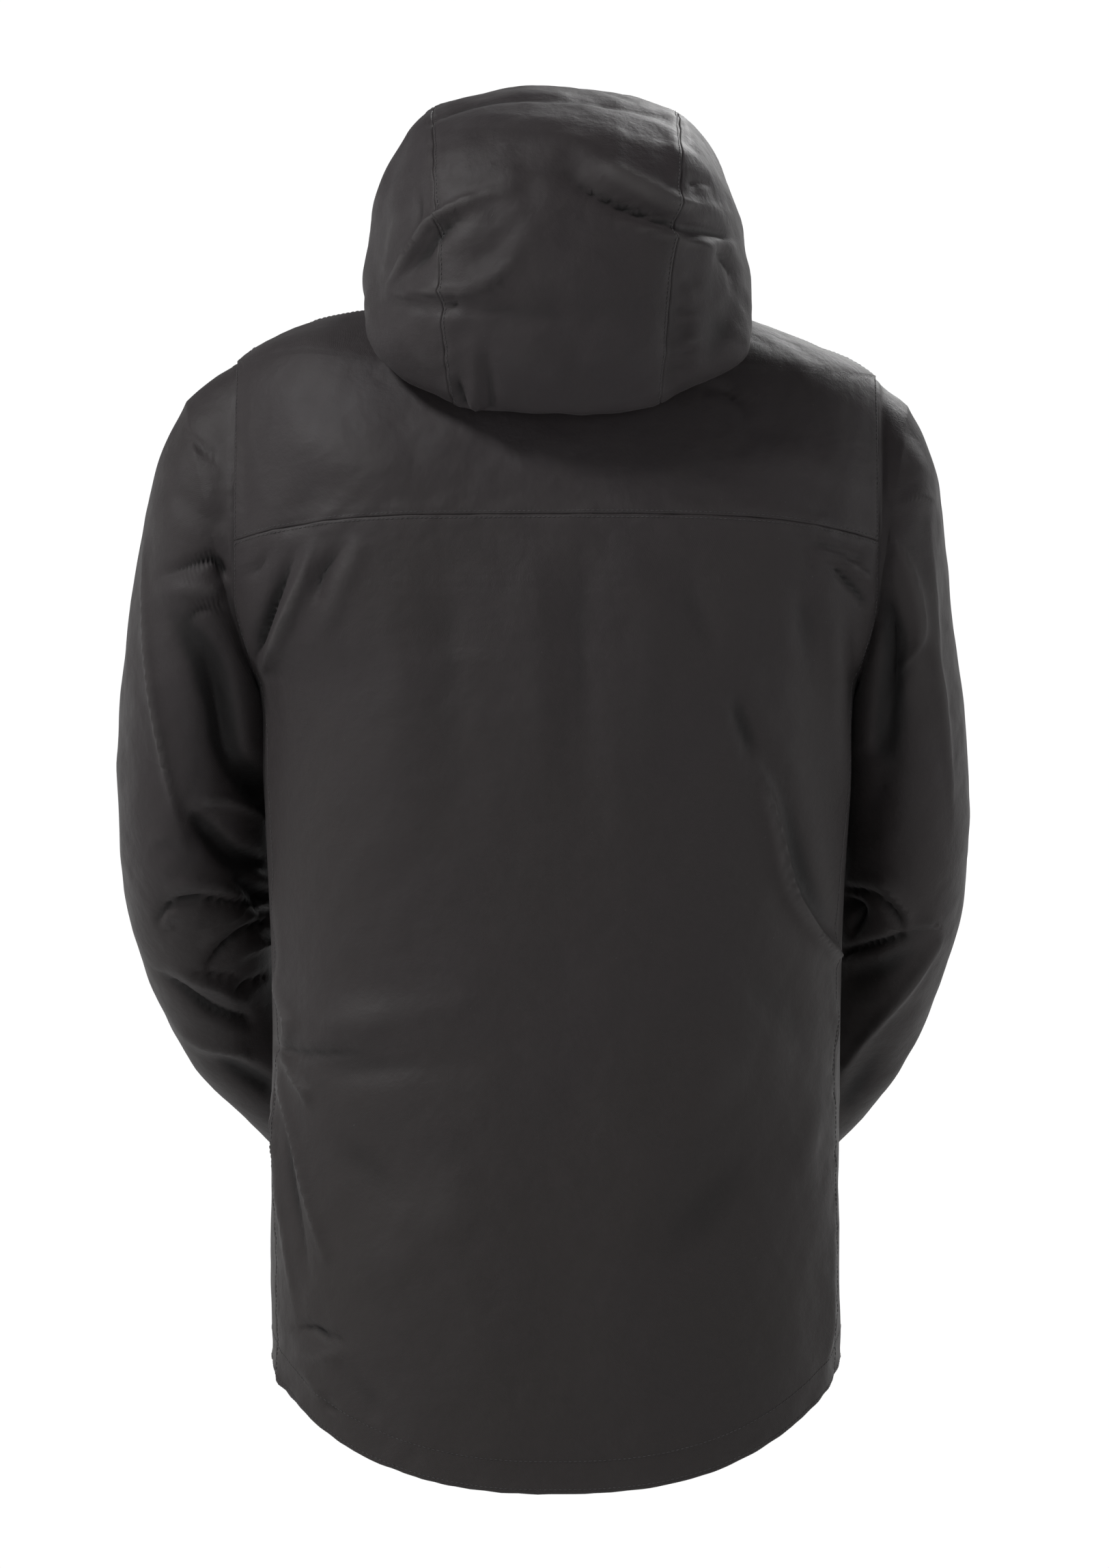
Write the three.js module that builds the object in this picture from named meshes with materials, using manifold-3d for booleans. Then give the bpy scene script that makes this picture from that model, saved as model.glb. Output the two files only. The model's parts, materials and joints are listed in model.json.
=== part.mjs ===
// A hooded waterproof shell jacket as it hangs on a wearer: millimetres, +Z up, the wearer faces -Y.
// The origin is the middle of the neck opening, where the wearer's neck and shoulders hold the jacket up.
import * as THREE from "three";
import Module from "manifold-3d";
import { mergeVertices } from "three/addons/utils/BufferGeometryUtils.js";

const wasm = await Module();
wasm.setup();

// ---------- driving dimensions ----------
const fabric = 1.1; // three-layer shell fabric with its seam tape
const seamGap = 0.8; // between two panels that meet at a seam
const armholeGap = 2.2; // between the body and a sleeve's top edge
const layerGap = 2.4; // between a panel and a layer sewn inside it

// torso, measured down from the neck opening
const neckRise = 12; // nape seam above the origin
const neckHalfWidth = 80;
const frontNeckDip = 50; // how much lower the neck seam is at the zip
const shoulderDrop = 50;
const shoulderHalfWidth = 226;
const armholeDepth = 220; // shoulder point to armpit
const armholeBulge = 26; // how far the body section stands out beyond the armhole seam
const armholeTaper = 13; // the body is this much narrower at the armpits than at the shoulders
const waistDrop = 480;
const hemHalfWidth = 201;
const sideHemDrop = 745;
const tailDrop = 95; // back hem below the side hem
const frontDrop = 18; // front hem below the side hem
const backDepth = 150;
const napeDepth = 70;
const collarTop = 60;
const collarFrontDepth = 85; // zip line ahead of the origin at the collar's top
const hemFrontDepth = 165; // zip line ahead of the origin at side hem height
const yokeSeamDrop = 153;
const yokeSeamDip = 17; // the yoke seam is this much lower at the armholes
const frontYokeDrop = 118;
const sideSeamBack = 14; // degrees behind the body's side
const sideSeamFront = 22; // degrees ahead of the body's side

// hood, which stands empty and slumps back over the yoke
const hoodHalfWidth = 129;
const hoodTop = 149;
const hoodDrop = 86;
const hoodOverhang = 38; // the slumped hood stands this far behind the back
const brimLength = 42;
const brimLayer = 0.9; // stiffener sheet under the peak
const brimGap = 1.4; // the peak's seam, and the room over its stiffener

// sleeves, hands towards the front pockets
const sleeveGap = 5; // between the body's side and the inside of a sleeve at the armpit
const elbowGap = { left: 12, right: 6 }; // the same at the elbow: the two arms don't stand out alike
const elbowHalf = { left: 47, right: 42 };
const sleeveHead = { left: 36, right: 23 }; // fullness outside the shoulder point
const elbowDrop = 102; // elbow below the armpit
const elbowAhead = 40;
const forearmDrop = 222; // wrist below the elbow
const wristOut = 48; // wrist inwards of the body's side
const wristGap = 24; // between the wrist's back and the front of the body
const cuffTab = { length: 62, width: 26, thickness: 1.6 };
const cuffPatch = { length: 52, width: 20, thickness: 0.9 };

// zips
const tapeHalf = 13.5; // tape width to each side of a zip's middle line
const tapeThickness = 0.9;
const zipSlot = 0.9; // half the slot between the two tapes
const coil = { width: 2.8, depth: 1.7 };
const zipClearance = 0.4;
const frontZipBottomGap = 8; // tape end above the front hem
const pocketZip = { x: 82, top: 505, length: 160, half: 7 };
const pocketBag = { width: 118, depth: 190 };

const radians = THREE.MathUtils.degToRad;
const lerp = THREE.MathUtils.lerp;
const clamp = THREE.MathUtils.clamp;
const smoothstep = (v) => THREE.MathUtils.smoothstep(v, 0, 1);
const V = (x, y, z) => new THREE.Vector3(x, y, z);
const sides = { left: 1, right: -1 }; // the wearer's left is +X

// ---------- materials ----------
const shell = { color: 0x2f2c2d, roughness: 0.72, metalness: 0 };
const looks = {
  shell,
  lining: { color: 0x3a3a3d, roughness: 0.9, metalness: 0 },
  tape: { color: 0x1b1b1c, roughness: 0.5, metalness: 0 },
  metal: { color: 0x26272a, roughness: 0.35, metalness: 0.8 },
  plastic: { color: 0x1d1d1f, roughness: 0.45, metalness: 0 },
};
const group = new THREE.Group();

function add(name, geometry, look) {
  const mesh = new THREE.Mesh(geometry, new THREE.MeshStandardMaterial(looks[look]));
  mesh.name = name;
  group.add(mesh);
  return mesh;
}

// ---------- solids from surfaces ----------
function signedVolume(geometry) {
  const p = geometry.attributes.position;
  const index = geometry.index.array;
  const corner = [V(0, 0, 0), V(0, 0, 0), V(0, 0, 0)];
  let sum = 0;
  for (let i = 0; i < index.length; i += 3) {
    corner.forEach((c, k) => c.fromBufferAttribute(p, index[i + k]));
    sum += corner[0].dot(corner[1].cross(corner[2]));
  }
  return sum;
}

function facingOut(geometry) {
  geometry.deleteAttribute("normal");
  geometry.deleteAttribute("uv");
  if (signedVolume(geometry) < 0) geometry.index.array.reverse();
  return geometry;
}

function normalAt(surface, s, t, round) {
  const e = 1e-3;
  const [s0, s1] = round ? [(s - e + 1) % 1, (s + e) % 1] : [Math.max(0, s - e), Math.min(1, s + e)];
  const [t0, t1] = [Math.max(0, t - e), Math.min(1, t + e)];
  const alongS = surface(s1, t).sub(surface(s0, t));
  const alongT = surface(s, t1).sub(surface(s, t0));
  return alongS.cross(alongT).normalize();
}

// A closed wall between two copies of surface(s, t), both from 0 to 1, moved in and out along its normal.
// A round wall joins s = 1 to s = 0, so it is a tube that is open at both ends.
function wall(surface, ns, nt, inward, outward, round) {
  const columns = round ? ns : ns + 1;
  const layer = columns * (nt + 1);
  const points = [];
  for (const lift of [outward, -inward]) {
    for (let j = 0; j <= nt; j++) {
      for (let i = 0; i < columns; i++) {
        const [s, t] = [i / ns, j / nt];
        points.push(surface(s, t).addScaledVector(normalAt(surface, s, t, round), lift));
      }
    }
  }
  const outside = (i, j) => (i % columns) + j * columns;
  const index = [];
  const face = (a, b, c, d) => index.push(a, b, c, a, c, d);
  for (let j = 0; j < nt; j++) {
    for (let i = 0; i < ns; i++) {
      const ring = [outside(i, j), outside(i + 1, j), outside(i + 1, j + 1), outside(i, j + 1)];
      const [a, b, c, d] = ring.map((k) => points[k]);
      // the shorter diagonal splits the face
      if (a.distanceTo(c) > b.distanceTo(d)) ring.push(ring.shift());
      face(...ring);
      face(...ring.map((k) => k + layer).reverse().slice(1), ring[3] + layer);
    }
  }
  const rim = (k, m) => face(m, k, k + layer, m + layer);
  for (let i = 0; i < ns; i++) {
    rim(outside(i, 0), outside(i + 1, 0));
    rim(outside(i + 1, nt), outside(i, nt));
  }
  for (let j = 0; j < nt && !round; j++) {
    rim(outside(0, j + 1), outside(0, j));
    rim(outside(ns, j), outside(ns, j + 1));
  }
  const geometry = new THREE.BufferGeometry().setFromPoints(points);
  geometry.setIndex(index);
  return facingOut(geometry);
}

function sheet(surface, ns, nt, inward = fabric, outward = 0) {
  return wall(surface, ns, nt, inward, outward, false);
}
const tubeWall = (surface, ns, nt, inward, outward) => wall(surface, ns, nt, inward, outward, true);

function solid(geometry) {
  const merged = mergeVertices(geometry, 1e-4);
  const vertProperties = merged.attributes.position.array;
  const triVerts = new Uint32Array(merged.index.array);
  return new wasm.Manifold(new wasm.Mesh({ numProp: 3, vertProperties, triVerts }));
}

function geometryOf(manifold) {
  const mesh = manifold.getMesh();
  const points = new Float32Array(mesh.numVert * 3);
  for (let i = 0; i < mesh.numVert; i++) {
    points.set(mesh.vertProperties.subarray(i * mesh.numProp, i * mesh.numProp + 3), i * 3);
  }
  const geometry = new THREE.BufferGeometry();
  geometry.setAttribute("position", new THREE.BufferAttribute(points, 3));
  geometry.setIndex(new THREE.BufferAttribute(new Uint32Array(mesh.triVerts), 1));
  return geometry;
}

// A box, a prism or a lathe turned into a place: x across, y outwards and z up along the given frame.
function placed(geometry, frame, offset = V(0, 0, 0)) {
  const matrix = new THREE.Matrix4().makeBasis(frame.across, frame.out, frame.up);
  matrix.setPosition(frame.at);
  geometry.translate(offset.x, offset.y, offset.z);
  geometry.applyMatrix4(matrix);
  if (!geometry.index) return facingOut(mergeAll(geometry));
  return facingOut(geometry);
}

function mergeAll(geometry) {
  geometry.deleteAttribute("normal");
  geometry.deleteAttribute("uv");
  return mergeVertices(geometry, 1e-4);
}

const block = (x, y, z) => new THREE.BoxGeometry(x, y, z);

// ---------- the torso's form ----------
const armpitDrop = shoulderDrop + armholeDepth;
const chestHalfWidth = shoulderHalfWidth - armholeTaper;
const hoodBack = backDepth + hoodOverhang;
const sideHem = -sideHemDrop;

// Horizontal sections from the tail up: height, half width, depth behind the origin, squareness of the oval.
const section = (z, half, back, square) => ({ z, half, back, square });
const shoulderSlope = (share) => lerp(-shoulderDrop, neckRise, share);
const shoulderWidth = (share) => lerp(shoulderHalfWidth, neckHalfWidth, share);
const upperBack = (share) => lerp(napeDepth, backDepth, share);
const bulgeHalfWidth = shoulderHalfWidth + armholeBulge;
const sections = [
  section(-sideHemDrop - tailDrop - 40, hemHalfWidth, backDepth, 2.4),
  section(-sideHemDrop, hemHalfWidth, backDepth, 2.4),
  section(-waistDrop, hemHalfWidth + 1, backDepth - 1, 2.4),
  section(-armpitDrop - 70, lerp(hemHalfWidth, chestHalfWidth, 0.6), backDepth + 1, 2.45),
  section(-armpitDrop, chestHalfWidth, backDepth + 2, 2.5),
  section(-armpitDrop + 30, lerp(chestHalfWidth, bulgeHalfWidth, 0.5), backDepth + 1, 2.5),
  section(-armpitDrop + 70, bulgeHalfWidth - 4, backDepth, 2.5),
  section(-lerp(shoulderDrop, armpitDrop, 0.45), bulgeHalfWidth, backDepth - 4, 2.5),
  section(-shoulderDrop - 50, shoulderHalfWidth + 20, backDepth - 14, 2.4),
  section(-shoulderDrop, shoulderHalfWidth, upperBack(0.56), 2.2),
  section(shoulderSlope(0.4), shoulderWidth(0.35), upperBack(0.35), 2.1),
  section(shoulderSlope(0.68), shoulderWidth(0.64), upperBack(0.17), 2.0),
  section(neckRise, neckHalfWidth, napeDepth, 2.0),
  section(neckRise + 60, neckHalfWidth - 12, napeDepth - 10, 2.0),
];

// A smooth curve through the sections' values of one kind.
function sectionValue(kind, z) {
  const last = sections.length - 1;
  const at = clamp(z, sections[0].z, sections[last].z);
  let i = 0;
  while (i < last - 1 && at > sections[i + 1].z) i++;
  const [a, b] = [sections[i], sections[i + 1]];
  const slope = (j) => {
    const [p, q] = [sections[Math.max(0, j - 1)], sections[Math.min(last, j + 1)]];
    return (q[kind] - p[kind]) / (q.z - p.z);
  };
  const span = b.z - a.z;
  const u = (at - a.z) / span;
  const [u2, u3] = [u * u, u * u * u];
  return (
    (2 * u3 - 3 * u2 + 1) * a[kind] +
    (u3 - 2 * u2 + u) * span * slope(i) +
    (3 * u2 - 2 * u3) * b[kind] +
    (u3 - u2) * span * slope(i + 1)
  );
}

// The zip line is straight from the hem to the collar's top, so that its slider can run all the way.
const zipLean = (hemFrontDepth - collarFrontDepth) / (sideHemDrop + collarTop);
const frontDepth = (z) => collarFrontDepth + (collarTop - z) * zipLean;
const power = (v, exponent) => Math.sign(v) * Math.abs(v) ** exponent;

// A point of the torso's outside at an angle (0 the wearer's left, 90 the back) and a height.
function torso(angle, z) {
  const exponent = 2 / sectionValue("square", z);
  const a = radians(angle);
  const depth = Math.sin(a) > 0 ? sectionValue("back", z) : frontDepth(z);
  return V(sectionValue("half", z) * power(Math.cos(a), exponent), depth * power(Math.sin(a), exponent), z);
}

// The angle, from the body's side, at which the outside is x away from the middle.
function angleAtX(x, z) {
  const share = clamp(x / sectionValue("half", z), 0, 1);
  return THREE.MathUtils.radToDeg(Math.acos(share ** (sectionValue("square", z) / 2)));
}

function armholeX(z) {
  const low = smoothstep((-z - armpitDrop + 60) / 60);
  return lerp(shoulderHalfWidth, chestHalfWidth, low);
}

const inArmhole = (z) => z < -shoulderDrop && z > -armpitDrop;
const armholeAngle = (z) => (inArmhole(z) ? angleAtX(armholeX(z), z) : 0);

function hemZ(angle) {
  const across = Math.sin(radians(angle));
  const tail = across > 0 ? tailDrop * across : frontDrop * across * across;
  return sideHem - tail;
}

const yokeZ = (x) => -yokeSeamDrop - yokeSeamDip * Math.min(1, Math.abs(x) / shoulderHalfWidth) ** 4;
const frontYokeZ = () => -frontYokeDrop;
const neckZ = (angle) => neckRise - frontNeckDip * Math.max(0, -Math.sin(radians(angle))) ** 3;
const seamShare = seamGap / 2;

// The armhole's height at an angle near the armpit, found by halving.
function armpitZ(angle) {
  let [low, high] = [-armpitDrop, -armpitDrop + armholeDepth * 0.45];
  for (let i = 0; i < 30; i++) {
    const middle = (low + high) / 2;
    if (armholeAngle(middle) < Math.abs(angle)) low = middle;
    else high = middle;
  }
  return low;
}

// A panel of the torso between two heights. edge(z) gives the first and last angle at a height.
function torsoPanel(edge, bottom, top) {
  return (s, t) => {
    let z = lerp(bottom(90), top(90), t);
    let angle = 0;
    for (let i = 0; i < 12; i++) {
      const [first, last] = edge(z);
      angle = lerp(first, last, s);
      z = lerp(bottom(angle), top(angle), t);
    }
    return torso(angle, z);
  };
}

function trimmedByArmhole(z, seam) {
  return Math.max(seam, armholeAngle(z) + (inArmhole(z) ? 0.25 : 0));
}

const backSeamShift = 0.4; // degrees that a panel stops short of the seam line
const backEdge = (z) => {
  const side = trimmedByArmhole(z, sideSeamBack + backSeamShift);
  return [side, 180 - side];
};
const yokeEdge = (z) => {
  const side = z > -shoulderDrop ? backSeamShift : trimmedByArmhole(z, backSeamShift);
  return [side, 180 - side];
};

const xAt = (angle, z) => torso(angle, z).x;
const backPanelTop = (angle) => yokeZ(xAt(angle, -yokeSeamDrop)) - seamShare;
const yokeBottom = (angle) => yokeZ(xAt(angle, -yokeSeamDrop)) + seamShare;

function torsoShell() {
  add("back_panel", sheet(torsoPanel(backEdge, hemZ, backPanelTop), 14, 11), "shell");
  add("back_yoke", sheet(torsoPanel(yokeEdge, yokeBottom, neckZ), 16, 9), "shell");
  for (const [side, sign] of Object.entries(sides)) {
    const span = (from, to) => (sign > 0 ? [from, to] : [180 - to, 180 - from]);
    const middleEdge = (z) => -angleAtX(tapeHalf + seamGap, z);
    const frontEdge = (z) => span(middleEdge(z), -trimmedByArmhole(z, sideSeamFront + backSeamShift));
    const frontYokeEdge = (z) => {
      const outer = z > -shoulderDrop ? backSeamShift : trimmedByArmhole(z, backSeamShift);
      return span(middleEdge(z), -outer);
    };
    const sideEdge = () => span(-sideSeamFront, sideSeamBack);
    const sideTop = (angle) => armpitZ(sign > 0 ? angle : 180 - angle) - seamShare;
    const panel = torsoPanel(frontEdge, hemZ, () => frontYokeZ() - seamShare);
    add(`front_panel_${side}`, pocketCut(sheet(panel, 8, 12), sign), "shell");
    add(
      `front_yoke_${side}`,
      sheet(torsoPanel(frontYokeEdge, () => frontYokeZ() + seamShare, neckZ), 9, 7),
      "shell",
    );
    add(`side_panel_${side}`, sheet(torsoPanel(sideEdge, hemZ, sideTop), 4, 9), "shell");
  }
}

// ---------- frames on the front: across points to the wearer's right, out ahead of the body ----------
const lean = V(0, zipLean, 1).normalize(); // up along the zip line

function frontFrame(x, z) {
  const angle = -angleAtX(Math.abs(x), z);
  const at = torso(x < 0 ? 180 - angle : angle, z);
  const step = 2;
  const wide = (dx) => {
    const a = -angleAtX(Math.abs(x + dx), z);
    return torso(x + dx < 0 ? 180 - a : a, z);
  };
  const high = (dz) => {
    const a = -angleAtX(Math.abs(x), z + dz);
    return torso(x < 0 ? 180 - a : a, z + dz);
  };
  const up = high(step).sub(high(-step)).normalize();
  const across = x === 0 ? V(1, 0, 0) : wide(step).sub(wide(-step)).normalize();
  const out = up.clone().cross(across).normalize().negate();
  if (out.y > 0) out.negate();
  across.copy(out).cross(up).normalize();
  return { at, across, out, up };
}

const pocketFrame = (sign) => frontFrame(sign * pocketZip.x, -pocketZip.top - pocketZip.length / 2);

function pocketCut(geometry, sign) {
  const cutter = block(2 * (pocketZip.half + seamGap), 40, pocketZip.length + 2 * seamGap);
  return geometryOf(solid(geometry).subtract(solid(placed(cutter, pocketFrame(sign)))));
}

// ---------- collar ----------
const collarHalf = neckHalfWidth - 6;
const collarBack = napeDepth - 7;
const collarInset = 4; // the inner collar stands this far inside the zip tapes

function collarRing(angle, rise) {
  const top = lerp(collarTop - 8, 26, Math.max(0, Math.sin(radians(angle))));
  const z = lerp(neckZ(angle) + 4, top, rise);
  const lean = lerp(1, 0.93, rise);
  const a = radians(angle);
  const depth = Math.sin(a) > 0 ? collarBack * lean : frontDepth(z) - collarInset;
  return V(collarHalf * lean * Math.cos(a), depth * Math.sin(a), z);
}

function collar() {
  const opening = 22; // degrees each side of the zip
  const ring = (s, t) => collarRing(lerp(opening - 90, 270 - opening, s), t);
  add("inner_collar", sheet(ring, 20, 3), "lining");
  const guard = frontFrame(0, collarTop - 22);
  const soft = block(2 * tapeHalf + 6, 1.2, 38);
  add("chin_guard", placed(soft, guard, V(0, -coil.depth - 5.4, 0)), "lining");
}

// A locker loop inside the nape: a flat strap sewn at both ends with room for a peg under it.
function hangerLoop() {
  const half = 32;
  const strap = 2;
  const room = 9;
  const outline = new THREE.Shape();
  outline.moveTo(-half, 0);
  outline.lineTo(-half, -strap);
  outline.lineTo(-half + 7, -strap);
  outline.lineTo(-half + 13, -strap - room);
  outline.lineTo(half - 13, -strap - room);
  outline.lineTo(half - 7, -strap);
  outline.lineTo(half, -strap);
  outline.lineTo(half, 0);
  outline.lineTo(half - 9, 0);
  outline.lineTo(half - 15, -room);
  outline.lineTo(-half + 15, -room);
  outline.lineTo(-half + 9, 0);
  outline.closePath();
  const width = 8;
  const geometry = new THREE.ExtrudeGeometry(outline, { depth: width, bevelEnabled: false });
  const deepest = collarRing(90, 0.3).y - fabric - 2.5;
  const frame = { at: V(0, deepest, neckRise - 6), across: V(1, 0, 0), out: V(0, 1, 0), up: V(0, 0, 1) };
  add("hanger_loop", placed(geometry, frame, V(0, -2.5, -width / 2)), "tape");
}

// ---------- zips ----------
const slider = { width: 9.6, length: 15, plate: 1.1 };
const bridge = { width: 2.2, half: 4, rise: 1.9, wall: 0.8 };
const pull = { bar: 0.9, arm: 1.1, width: 6.4, length: 21, thickness: 1.0 };

function sliderSolid(halfWidth, backReach) {
  const outer = new THREE.Shape();
  const [w, p, slot] = [halfWidth, slider.plate, zipSlot - zipClearance];
  const front = zipClearance;
  const back = -tapeThickness - backReach - zipClearance;
  outer.moveTo(-w, front + p);
  outer.lineTo(-w, front);
  outer.lineTo(-slot, front);
  outer.lineTo(-slot, back);
  outer.lineTo(-w, back);
  outer.lineTo(-w, back - p);
  outer.lineTo(w, back - p);
  outer.lineTo(w, back);
  outer.lineTo(slot, back);
  outer.lineTo(slot, front);
  outer.lineTo(w, front);
  outer.lineTo(w, front + p);
  outer.closePath();
  const body = new THREE.ExtrudeGeometry(outer, { depth: slider.length, bevelEnabled: false });
  body.translate(0, 0, -slider.length / 2);
  const arch = new THREE.Shape();
  const { half, rise, wall } = bridge;
  arch.moveTo(-half, -0.2);
  arch.lineTo(-half + wall, -0.2);
  arch.lineTo(-half + wall, rise);
  arch.lineTo(half - wall, rise);
  arch.lineTo(half - wall, -0.2);
  arch.lineTo(half, -0.2);
  arch.lineTo(half, rise + wall);
  arch.lineTo(-half, rise + wall);
  arch.closePath();
  const crown = new THREE.ExtrudeGeometry(arch, { depth: bridge.width, bevelEnabled: false });
  crown.translate(0, 0, -bridge.width / 2);
  crown.rotateY(-Math.PI / 2);
  crown.translate(0, front + p, 0);
  return geometryOf(solid(mergeAll(body)).add(solid(mergeAll(crown))));
}

const pullHeight = zipClearance + slider.plate + bridge.rise / 2; // pivot above the tape's face

function pullSolid() {
  const { bar, arm, width, length, thickness } = pull;
  const eye = bridge.half + 1.4; // from the pivot bar to the tab's solid part
  const outline = new THREE.Shape();
  outline.moveTo(-width / 2, bar / 2);
  outline.lineTo(-width / 2, -length + 2);
  outline.lineTo(-width / 2 + 2, -length);
  outline.lineTo(width / 2 - 2, -length);
  outline.lineTo(width / 2, -length + 2);
  outline.lineTo(width / 2, bar / 2);
  outline.closePath();
  const hole = new THREE.Path();
  hole.moveTo(-width / 2 + arm, -bar / 2);
  hole.lineTo(width / 2 - arm, -bar / 2);
  hole.lineTo(width / 2 - arm, -eye);
  hole.lineTo(-width / 2 + arm, -eye);
  hole.closePath();
  outline.holes.push(hole);
  const geometry = new THREE.ExtrudeGeometry(outline, { depth: thickness, bevelEnabled: false });
  geometry.translate(0, 0, -thickness / 2);
  geometry.rotateX(Math.PI / 2); // the tab hangs down the zip
  return geometry;
}

function pullerSolid() {
  const grip = new THREE.BoxGeometry(7.6, 2.6, 24, 1, 1, 1);
  grip.translate(0, 0, -pull.length - zipClearance - 12);
  return grip;
}

function sliderAndPull(name, frame, halfWidth, backReach) {
  add(`${name}_slider`, placed(sliderSolid(halfWidth, backReach), frame), "metal");
  const hinge = { ...frame, at: frame.at.clone().addScaledVector(frame.out, pullHeight) };
  add(`${name}_pull_tab`, placed(pullSolid(), hinge), "metal");
  return hinge;
}

const hemAtZip = hemZ(-90);
const zipFoot = hemAtZip + frontZipBottomGap;
const sliderBelowTop = 14; // closed slider's middle below the tape's top end

function frontZip() {
  const bottom = frontFrame(0, zipFoot);
  const top = frontFrame(0, collarTop);
  const length = top.at.distanceTo(bottom.at);
  const middle = { ...bottom, at: bottom.at.clone().lerp(top.at, 0.5) };
  const tapeWidth = tapeHalf - zipSlot;
  for (const [side, sign] of Object.entries(sides)) {
    const across = -sign * (zipSlot + tapeWidth / 2);
    const tape = block(tapeWidth, tapeThickness, length);
    add(`zip_tape_${side}`, placed(tape, middle, V(across, -tapeThickness / 2, 0)), "tape");
    const bead = block(coil.width, coil.depth, length - 22);
    const inside = V(-sign * (zipSlot + coil.width / 2), -tapeThickness - 0.3 - coil.depth / 2, 0);
    add(`zip_coil_${side}`, placed(bead, middle, inside), "plastic");
  }
  const up = lean;
  const foot = { ...bottom, at: bottom.at.clone().addScaledVector(up, 5.2) };
  const box = block(2 * (zipSlot + coil.width) + 1, coil.depth, 9);
  add("zip_retainer_box", placed(box, foot, V(0, -tapeThickness - 0.3 - coil.depth / 2, 0)), "plastic");
  const closed = { ...top, at: top.at.clone().addScaledVector(up, -sliderBelowTop) };
  const hinge = sliderAndPull("zip", closed, slider.width / 2, 0.3 + coil.depth);
  add("zip_puller", placed(pullerSolid(), hinge), "plastic");
  const flap = block(2 * tapeHalf + 22, fabric, length - 66);
  const behind = -tapeThickness - coil.depth - slider.plate - 2.8;
  const lower = { ...middle, at: middle.at.clone().addScaledVector(up, -30) };
  add("storm_flap", placed(flap, lower, V(0, behind, 0)), "shell");
}

function pocket(side, sign) {
  const frame = pocketFrame(sign);
  const { half, length } = pocketZip;
  const outline = new THREE.Shape();
  outline.moveTo(-half, -length / 2);
  outline.lineTo(half, -length / 2);
  outline.lineTo(half, length / 2);
  outline.lineTo(-half, length / 2);
  outline.closePath();
  const slot = new THREE.Path();
  const end = length / 2 - 4;
  slot.moveTo(-zipSlot, -end);
  slot.lineTo(-zipSlot, end);
  slot.lineTo(zipSlot, end);
  slot.lineTo(zipSlot, -end);
  slot.closePath();
  outline.holes.push(slot);
  const tape = new THREE.ExtrudeGeometry(outline, { depth: tapeThickness, bevelEnabled: false });
  tape.rotateX(Math.PI / 2);
  add(`pocket_zip_${side}`, placed(tape, frame), "tape");
  const rest = { ...frame, at: frame.at.clone().addScaledVector(frame.up, end - slider.length / 2 - 1) };
  sliderAndPull(`pocket_${side}`, rest, 4.2, 0.4);
  const bag = (s, t) => {
    const x = sign * (pocketZip.x + 8 + lerp(-0.5, 0.5, s) * pocketBag.width);
    const z = -pocketZip.top + 8 - t * pocketBag.depth;
    const angle = -angleAtX(Math.abs(x), z);
    const at = torso(x < 0 ? 180 - angle : angle, z);
    return at.addScaledVector(V(at.x * 0.4, at.y, 0).normalize(), -fabric - layerGap - 3.2);
  };
  add(`pocket_bag_${side}`, sheet(bag, 5, 4, 0.6, 0.6), "lining");
}

// ---------- hem ----------
const hemFacing = { height: 24, inset: fabric + layerGap };

function hem() {
  const facing = (s, t) => {
    const gap = THREE.MathUtils.radToDeg(Math.asin((tapeHalf + 14) / hemHalfWidth));
    const angle = lerp(-90 + gap, 270 - gap, s);
    const z = hemZ(angle > 180 ? 180 - angle : angle) + 1 + t * hemFacing.height;
    const at = torso(angle, z);
    return at.addScaledVector(V(at.x, at.y * 1.3, 0).normalize(), -hemFacing.inset);
  };
  add("hem_tunnel", sheet(facing, 30, 1, 0.8, 0), "lining");
  for (const [side, sign] of Object.entries(sides)) {
    const z = sideHem - frontDrop * 0.9 + 12;
    add(`hem_eyelet_${side}`, eyelet(frontFrame(sign * 40, z)), "metal");
  }
}

// A pressed ring that lines a drawcord's hole: it stands on the fabric.
function eyelet(frame) {
  const [inner, outer, height] = [2.2, 4.6, 0.9];
  const profile = [
    new THREE.Vector2(inner, 0.35),
    new THREE.Vector2(outer, 0.35),
    new THREE.Vector2(outer - 0.5, 0.35 + height),
    new THREE.Vector2(inner + 0.4, 0.35 + height),
    new THREE.Vector2(inner, 0.35),
  ];
  const ring = new THREE.LatheGeometry(profile, 16);
  return placed(mergeAll(ring), frame);
}

// ---------- hood ----------
const neckClear = 6; // the hood's edge stands this far outside the neck seam

function neckEdge(angle, rise) {
  const at = torso(angle, neckZ(angle));
  return V(at.x * 1.05, at.y + Math.sign(at.y) * neckClear, at.z + rise);
}

// Rows run from the neck seam, down the slumped roll, up the back and over the crown to the brim seam.
// Each point is a share of the hood's half width, of its depth behind the origin, and of its height or drop.
const hoodNet = {
  middle: [
    [0, 0.6, -0.21], [0, 0.74, -0.68], [0, 0.85, -1], [0, 0.975, -0.5], [0, 1, 0.2],
    [0, 0.86, 0.64], [0, 0.46, 0.9], [0, -0.02, 0.98], [0, -0.36, 1],
  ],
  quarter: [
    [0.49, 0.5, -0.14], [0.53, 0.64, -0.58], [0.56, 0.75, -0.9], [0.6, 0.88, -0.48], [0.63, 0.9, 0.19],
    [0.66, 0.76, 0.6], [0.67, 0.4, 0.845], [0.65, -0.06, 0.92], [0.58, -0.37, 0.94],
  ],
  side: [
    [0.76, 0.28, 0.04], [0.85, 0.42, -0.14], [0.93, 0.53, -0.36], [1, 0.54, -0.16], [1, 0.45, 0.2],
    [0.95, 0.3, 0.53], [0.85, 0.11, 0.74], [0.78, -0.11, 0.79], [0.72, -0.29, 0.78],
  ],
};
const hoodRows = hoodNet.middle.length;

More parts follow.
